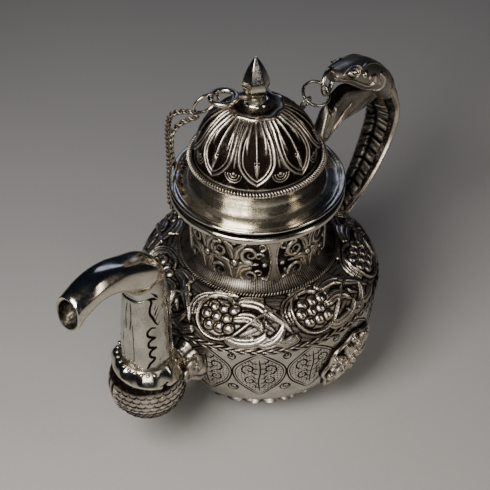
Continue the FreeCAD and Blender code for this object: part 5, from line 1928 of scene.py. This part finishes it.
@dataclass
class Chain:
    """The doubled curb chain that ties the lid to the handle: two strands, each one mesh of links."""

    inner: list[tuple[float, float, float]] = field(default_factory=lambda: [
        by_loop(17.5, 0.9, 95.2), by_loop(24.0, 1.3, 93.4), by_loop(25.4, 1.9, 84.6),
        by_loop(24.2, 0.0, 74.6),
        by_loop(22.0, -8.6, 74.1), around(-84, 23.6, 74.0), around(-106, 23.6, 74.0),
        around(-128, 23.6, 74.0),
        around(-148, 23.7, 74.1), around(-163, 25.2, 76.6), (-0.0230, -0.0017, 0.0836)])
    outer: list[tuple[float, float, float]] = field(default_factory=lambda: [
        by_loop(17.5, -1.0, 95.5), by_loop(24.2, -2.2, 96.0), by_loop(26.5, -5.0, 88.0),
        by_loop(26.7, -8.2, 74.5),
        by_loop(27.6, -10.6, 60.0), around(-74, 30.4, 49.4), around(-92, 29.6, 48.0),
        around(-112, 28.9, 47.8),
        around(-132, 28.9, 48.8), around(-148, 29.8, 55.5), around(-155, 30.2, 66.0),
        around(-164, 29.6, 76.0),
        (-0.0241, -0.0019, 0.0838)])
    inner_length: float = 0.0797
    outer_length: float = 0.1252
    width: float = 0.0020
    pitch: float = 0.96

    def build(self) -> None:
        """Makes both strands."""
        self.strand("chain_inner", self.inner, self.inner_length)
        self.strand("chain_outer", self.outer, self.outer_length)

    def route(self, points: list[tuple[float, float, float]]) -> Array:
        """The strand's centre line: a NURBS spline with the route's points as its control points.

        Args:
            points: the route, metres.

        Returns:
            (n, 3) points along it, mm.
        """
        curve = bpy.data.curves.new("route", "CURVE")
        curve.dimensions = "3D"
        spline = curve.splines.new("NURBS")
        spline.points.add(len(points) - 1)
        for made, place in zip(spline.points, points):
            made.co = (*place, 1.0)
        spline.order_u = 3
        spline.use_endpoint_u = True
        spline.resolution_u = 24
        holder = bpy.data.objects.new("route", curve)
        mesh = bpy.data.meshes.new_from_object(holder)
        line = np.empty(len(mesh.vertices) * 3)
        mesh.vertices.foreach_get("co", line)
        bpy.data.objects.remove(holder)
        bpy.data.meshes.remove(mesh)
        bpy.data.curves.remove(curve)
        return line.reshape(-1, 3) / MM

    def link(self, sides: int = 6, steps: int = 12) -> Array:
        """One curb link round the origin: an oval of wire, its ends twisted a third of a turn apart.

        Args:
            sides: steps round the wire.
            steps: steps round the oval.

        Returns:
            (steps, sides, 3) points, mm, long way on X: (0.98 c, 0.7 s) turned about X by 0.75 x.
        """
        a = np.linspace(0, FULL_TURN, steps, endpoint=False)
        path = np.stack([0.98 * np.cos(a), 0.7 * np.sin(a), np.zeros(steps)], axis=1)
        out = np.stack([np.cos(a) * 0.7, np.sin(a) * 0.98, np.zeros(steps)], axis=1)
        out /= np.linalg.norm(out, axis=1, keepdims=True)
        up = np.broadcast_to([0.0, 0.0, 1.0], out.shape)
        grid = tube_grid(path, out * 0.3, up * 0.3, sides, 1.0)
        turn = 0.75 * grid[..., 0]
        y = grid[..., 1] * np.cos(turn) - grid[..., 2] * np.sin(turn)
        z = grid[..., 1] * np.sin(turn) + grid[..., 2] * np.cos(turn)
        return np.stack([grid[..., 0], y, z], axis=2)

    def strand(self, name: str, points: list[tuple[float, float, float]], length: float) -> None:
        """One strand: a link every pitch, each turned against the last.

        Args:
            name: its CAD node.
            points: its route, metres.
            length: its real length, metres; not used.
        """
        fine = self.route(points)
        count = int(round(np.linalg.norm(np.diff(fine, axis=0), axis=1).sum() / self.pitch))
        path = even(fine, count)
        way = np.gradient(path, axis=0)
        way /= np.linalg.norm(way, axis=1, keepdims=True)
        first, second = section_axes(path, np.array([0.31, 0.17, 0.93]))
        lean = (np.arange(count) % 2)[:, None] * math.pi / 2 + 0.35 + 0.12 * np.sin(np.arange(count)
                * 1.7)[:, None]
        across = first * np.cos(lean) + second * np.sin(lean)
        up = np.cross(way, across)
        link = self.link()
        tone = np.clip(0.85 - 0.9 * (np.hypot(link[..., 1], link[..., 2]) - 0.3), 0.1, 0.95)
        skin = Skin()
        places = path[:, None, None, :] + link[None, ..., 0:1] * way[:, None, None, :] \
            + link[None, ..., 1:2] * across[:, None, None, :] + link[None, ..., 2:3] * up[:, None, None, :]
        for number in range(count):
            skin.add(places[number], tone, wrap_rows=True, wrap_columns=True)
        made = skin.piece(f"{name}_links", Shade.CHAIN, 180)
        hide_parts(name)
        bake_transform(made)
        log.info("%s: %d links", made.name, count)


# ---------------------------------------------------------------- stage
@dataclass
class Stage:
    """Pale floor, soft studio light, and the camera."""

    def build(self) -> None:
        """Makes the set."""
        self.floor()
        self.world()
        self.lights()
        self.camera()

    def floor(self) -> None:
        """A large plain sheet under the pot."""
        mesh = bpy.data.meshes.new("studio_floor")
        reach, back = 3.0, 0.0
        mesh.from_pydata([(-reach, -reach, back), (reach, -reach, back), (reach, reach, back),
                (-reach, reach, back)],
                         [], [(0, 1, 2, 3)])
        made = bpy.data.objects.new("studio_floor", mesh)
        bpy.context.scene.collection.objects.link(made)
        material = bpy.data.materials.new("studio_paper")
        material.use_nodes = True
        tree = material.node_tree
        shader = tree.nodes["Principled BSDF"]
        place = add_node(tree, "TexCoord").outputs["Object"]
        grain = add_node(tree, "TexNoise", {"Vector": place, "Scale": 900.0, "Detail": 3.0}).outputs["Fac"]
        colour = add_node(tree, "Mix", {0: grain, 6: linear("#b1aeaa"), 7: linear("#bab7b2")},
                          data_type="RGBA").outputs[2]
        tree.links.new(colour, shader.inputs["Base Color"])
        shader.inputs["Roughness"].default_value = 0.55
        shader.inputs["Specular IOR Level"].default_value = 0.35
        made.data.materials.append(material)

    def world(self) -> None:
        """Dim blue-grey surroundings."""
        world = bpy.data.worlds.new("studio")
        world.use_nodes = True
        tree = world.node_tree
        shade = tree.nodes["Background"]
        shade.inputs["Color"].default_value = linear("#4c5a7a")
        shade.inputs["Strength"].default_value = 0.07
        bpy.context.scene.world = world

    def lights(self) -> None:
        """Soft boxes close to the pot, so that the floor darkens towards the back."""
        for name, place, size, power, colour in (
                ("key_box", (0.20, 0.02, 0.25), (0.15, 0.15), 0.98, "#faf8f6"),
                ("front_box", (0.26, 0.26, 0.18), (0.12, 0.18), 0.30, "#faf8f5"),
                ("right_strip", (-0.06, 0.30, 0.20), (0.06, 0.26), 0.20, "#fff5ea"),
                ("back_strip", (-0.22, -0.18, 0.26), (0.22, 0.07), 0.05, "#c9d8ff")):
            data = bpy.data.lights.new(name, "AREA")
            data.shape = "RECTANGLE"
            data.size, data.size_y = size
            data.energy = power
            data.color = linear(colour)[:3]
            made = bpy.data.objects.new(name, data)
            bpy.context.scene.collection.objects.link(made)
            made.location = place
            made.rotation_euler = (Vector((0, 0, 0.05)) - Vector(place)).to_track_quat("-Z", "Y").to_euler()

    def camera(self) -> None:
        """A long lens, 0.38 m away, looking down at 38 degrees."""
        azimuth, elevation = math.radians(130.0), math.radians(37.82)
        distance, middle = 0.380, Vector((0, 0, 0.0726))
        away = Vector((math.sin(azimuth) * math.cos(elevation), -math.cos(azimuth) * math.cos(elevation),
                       math.sin(elevation)))
        data = bpy.data.cameras.new("studio_camera")
        data.sensor_width = 36.0
        data.lens = 93.1
        data.clip_start, data.clip_end = 0.01, 20.0
        made = bpy.data.objects.new("studio_camera", data)
        bpy.context.scene.collection.objects.link(made)
        aim = (-away).to_track_quat("-Z", "Y").to_matrix()
        tip = Matrix.Rotation(math.radians(-3.07), 3, "X") @ Matrix.Rotation(math.radians(0.583), 3, "Y")
        roll = Matrix.Rotation(math.radians(-0.67), 3, "Z")
        made.matrix_world = Matrix.Translation(middle + away * distance) @ (aim @ tip @ roll).to_4x4()
        bpy.context.scene.camera = made


def main() -> None:
    """Builds the finishes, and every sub-assembly and the stage."""
    logging.basicConfig(level=logging.INFO, format="%(message)s")
    for shade, silver in SILVERS.items():
        FINISHES[shade] = silver.build()
    for part in (Vessel(), Lid(), Spout(), Handle(), Hardware(), Chain(), Stage()):
        part.build()
        log.info("%s done", type(part).__name__)


if __name__ == "__main__":
    main()
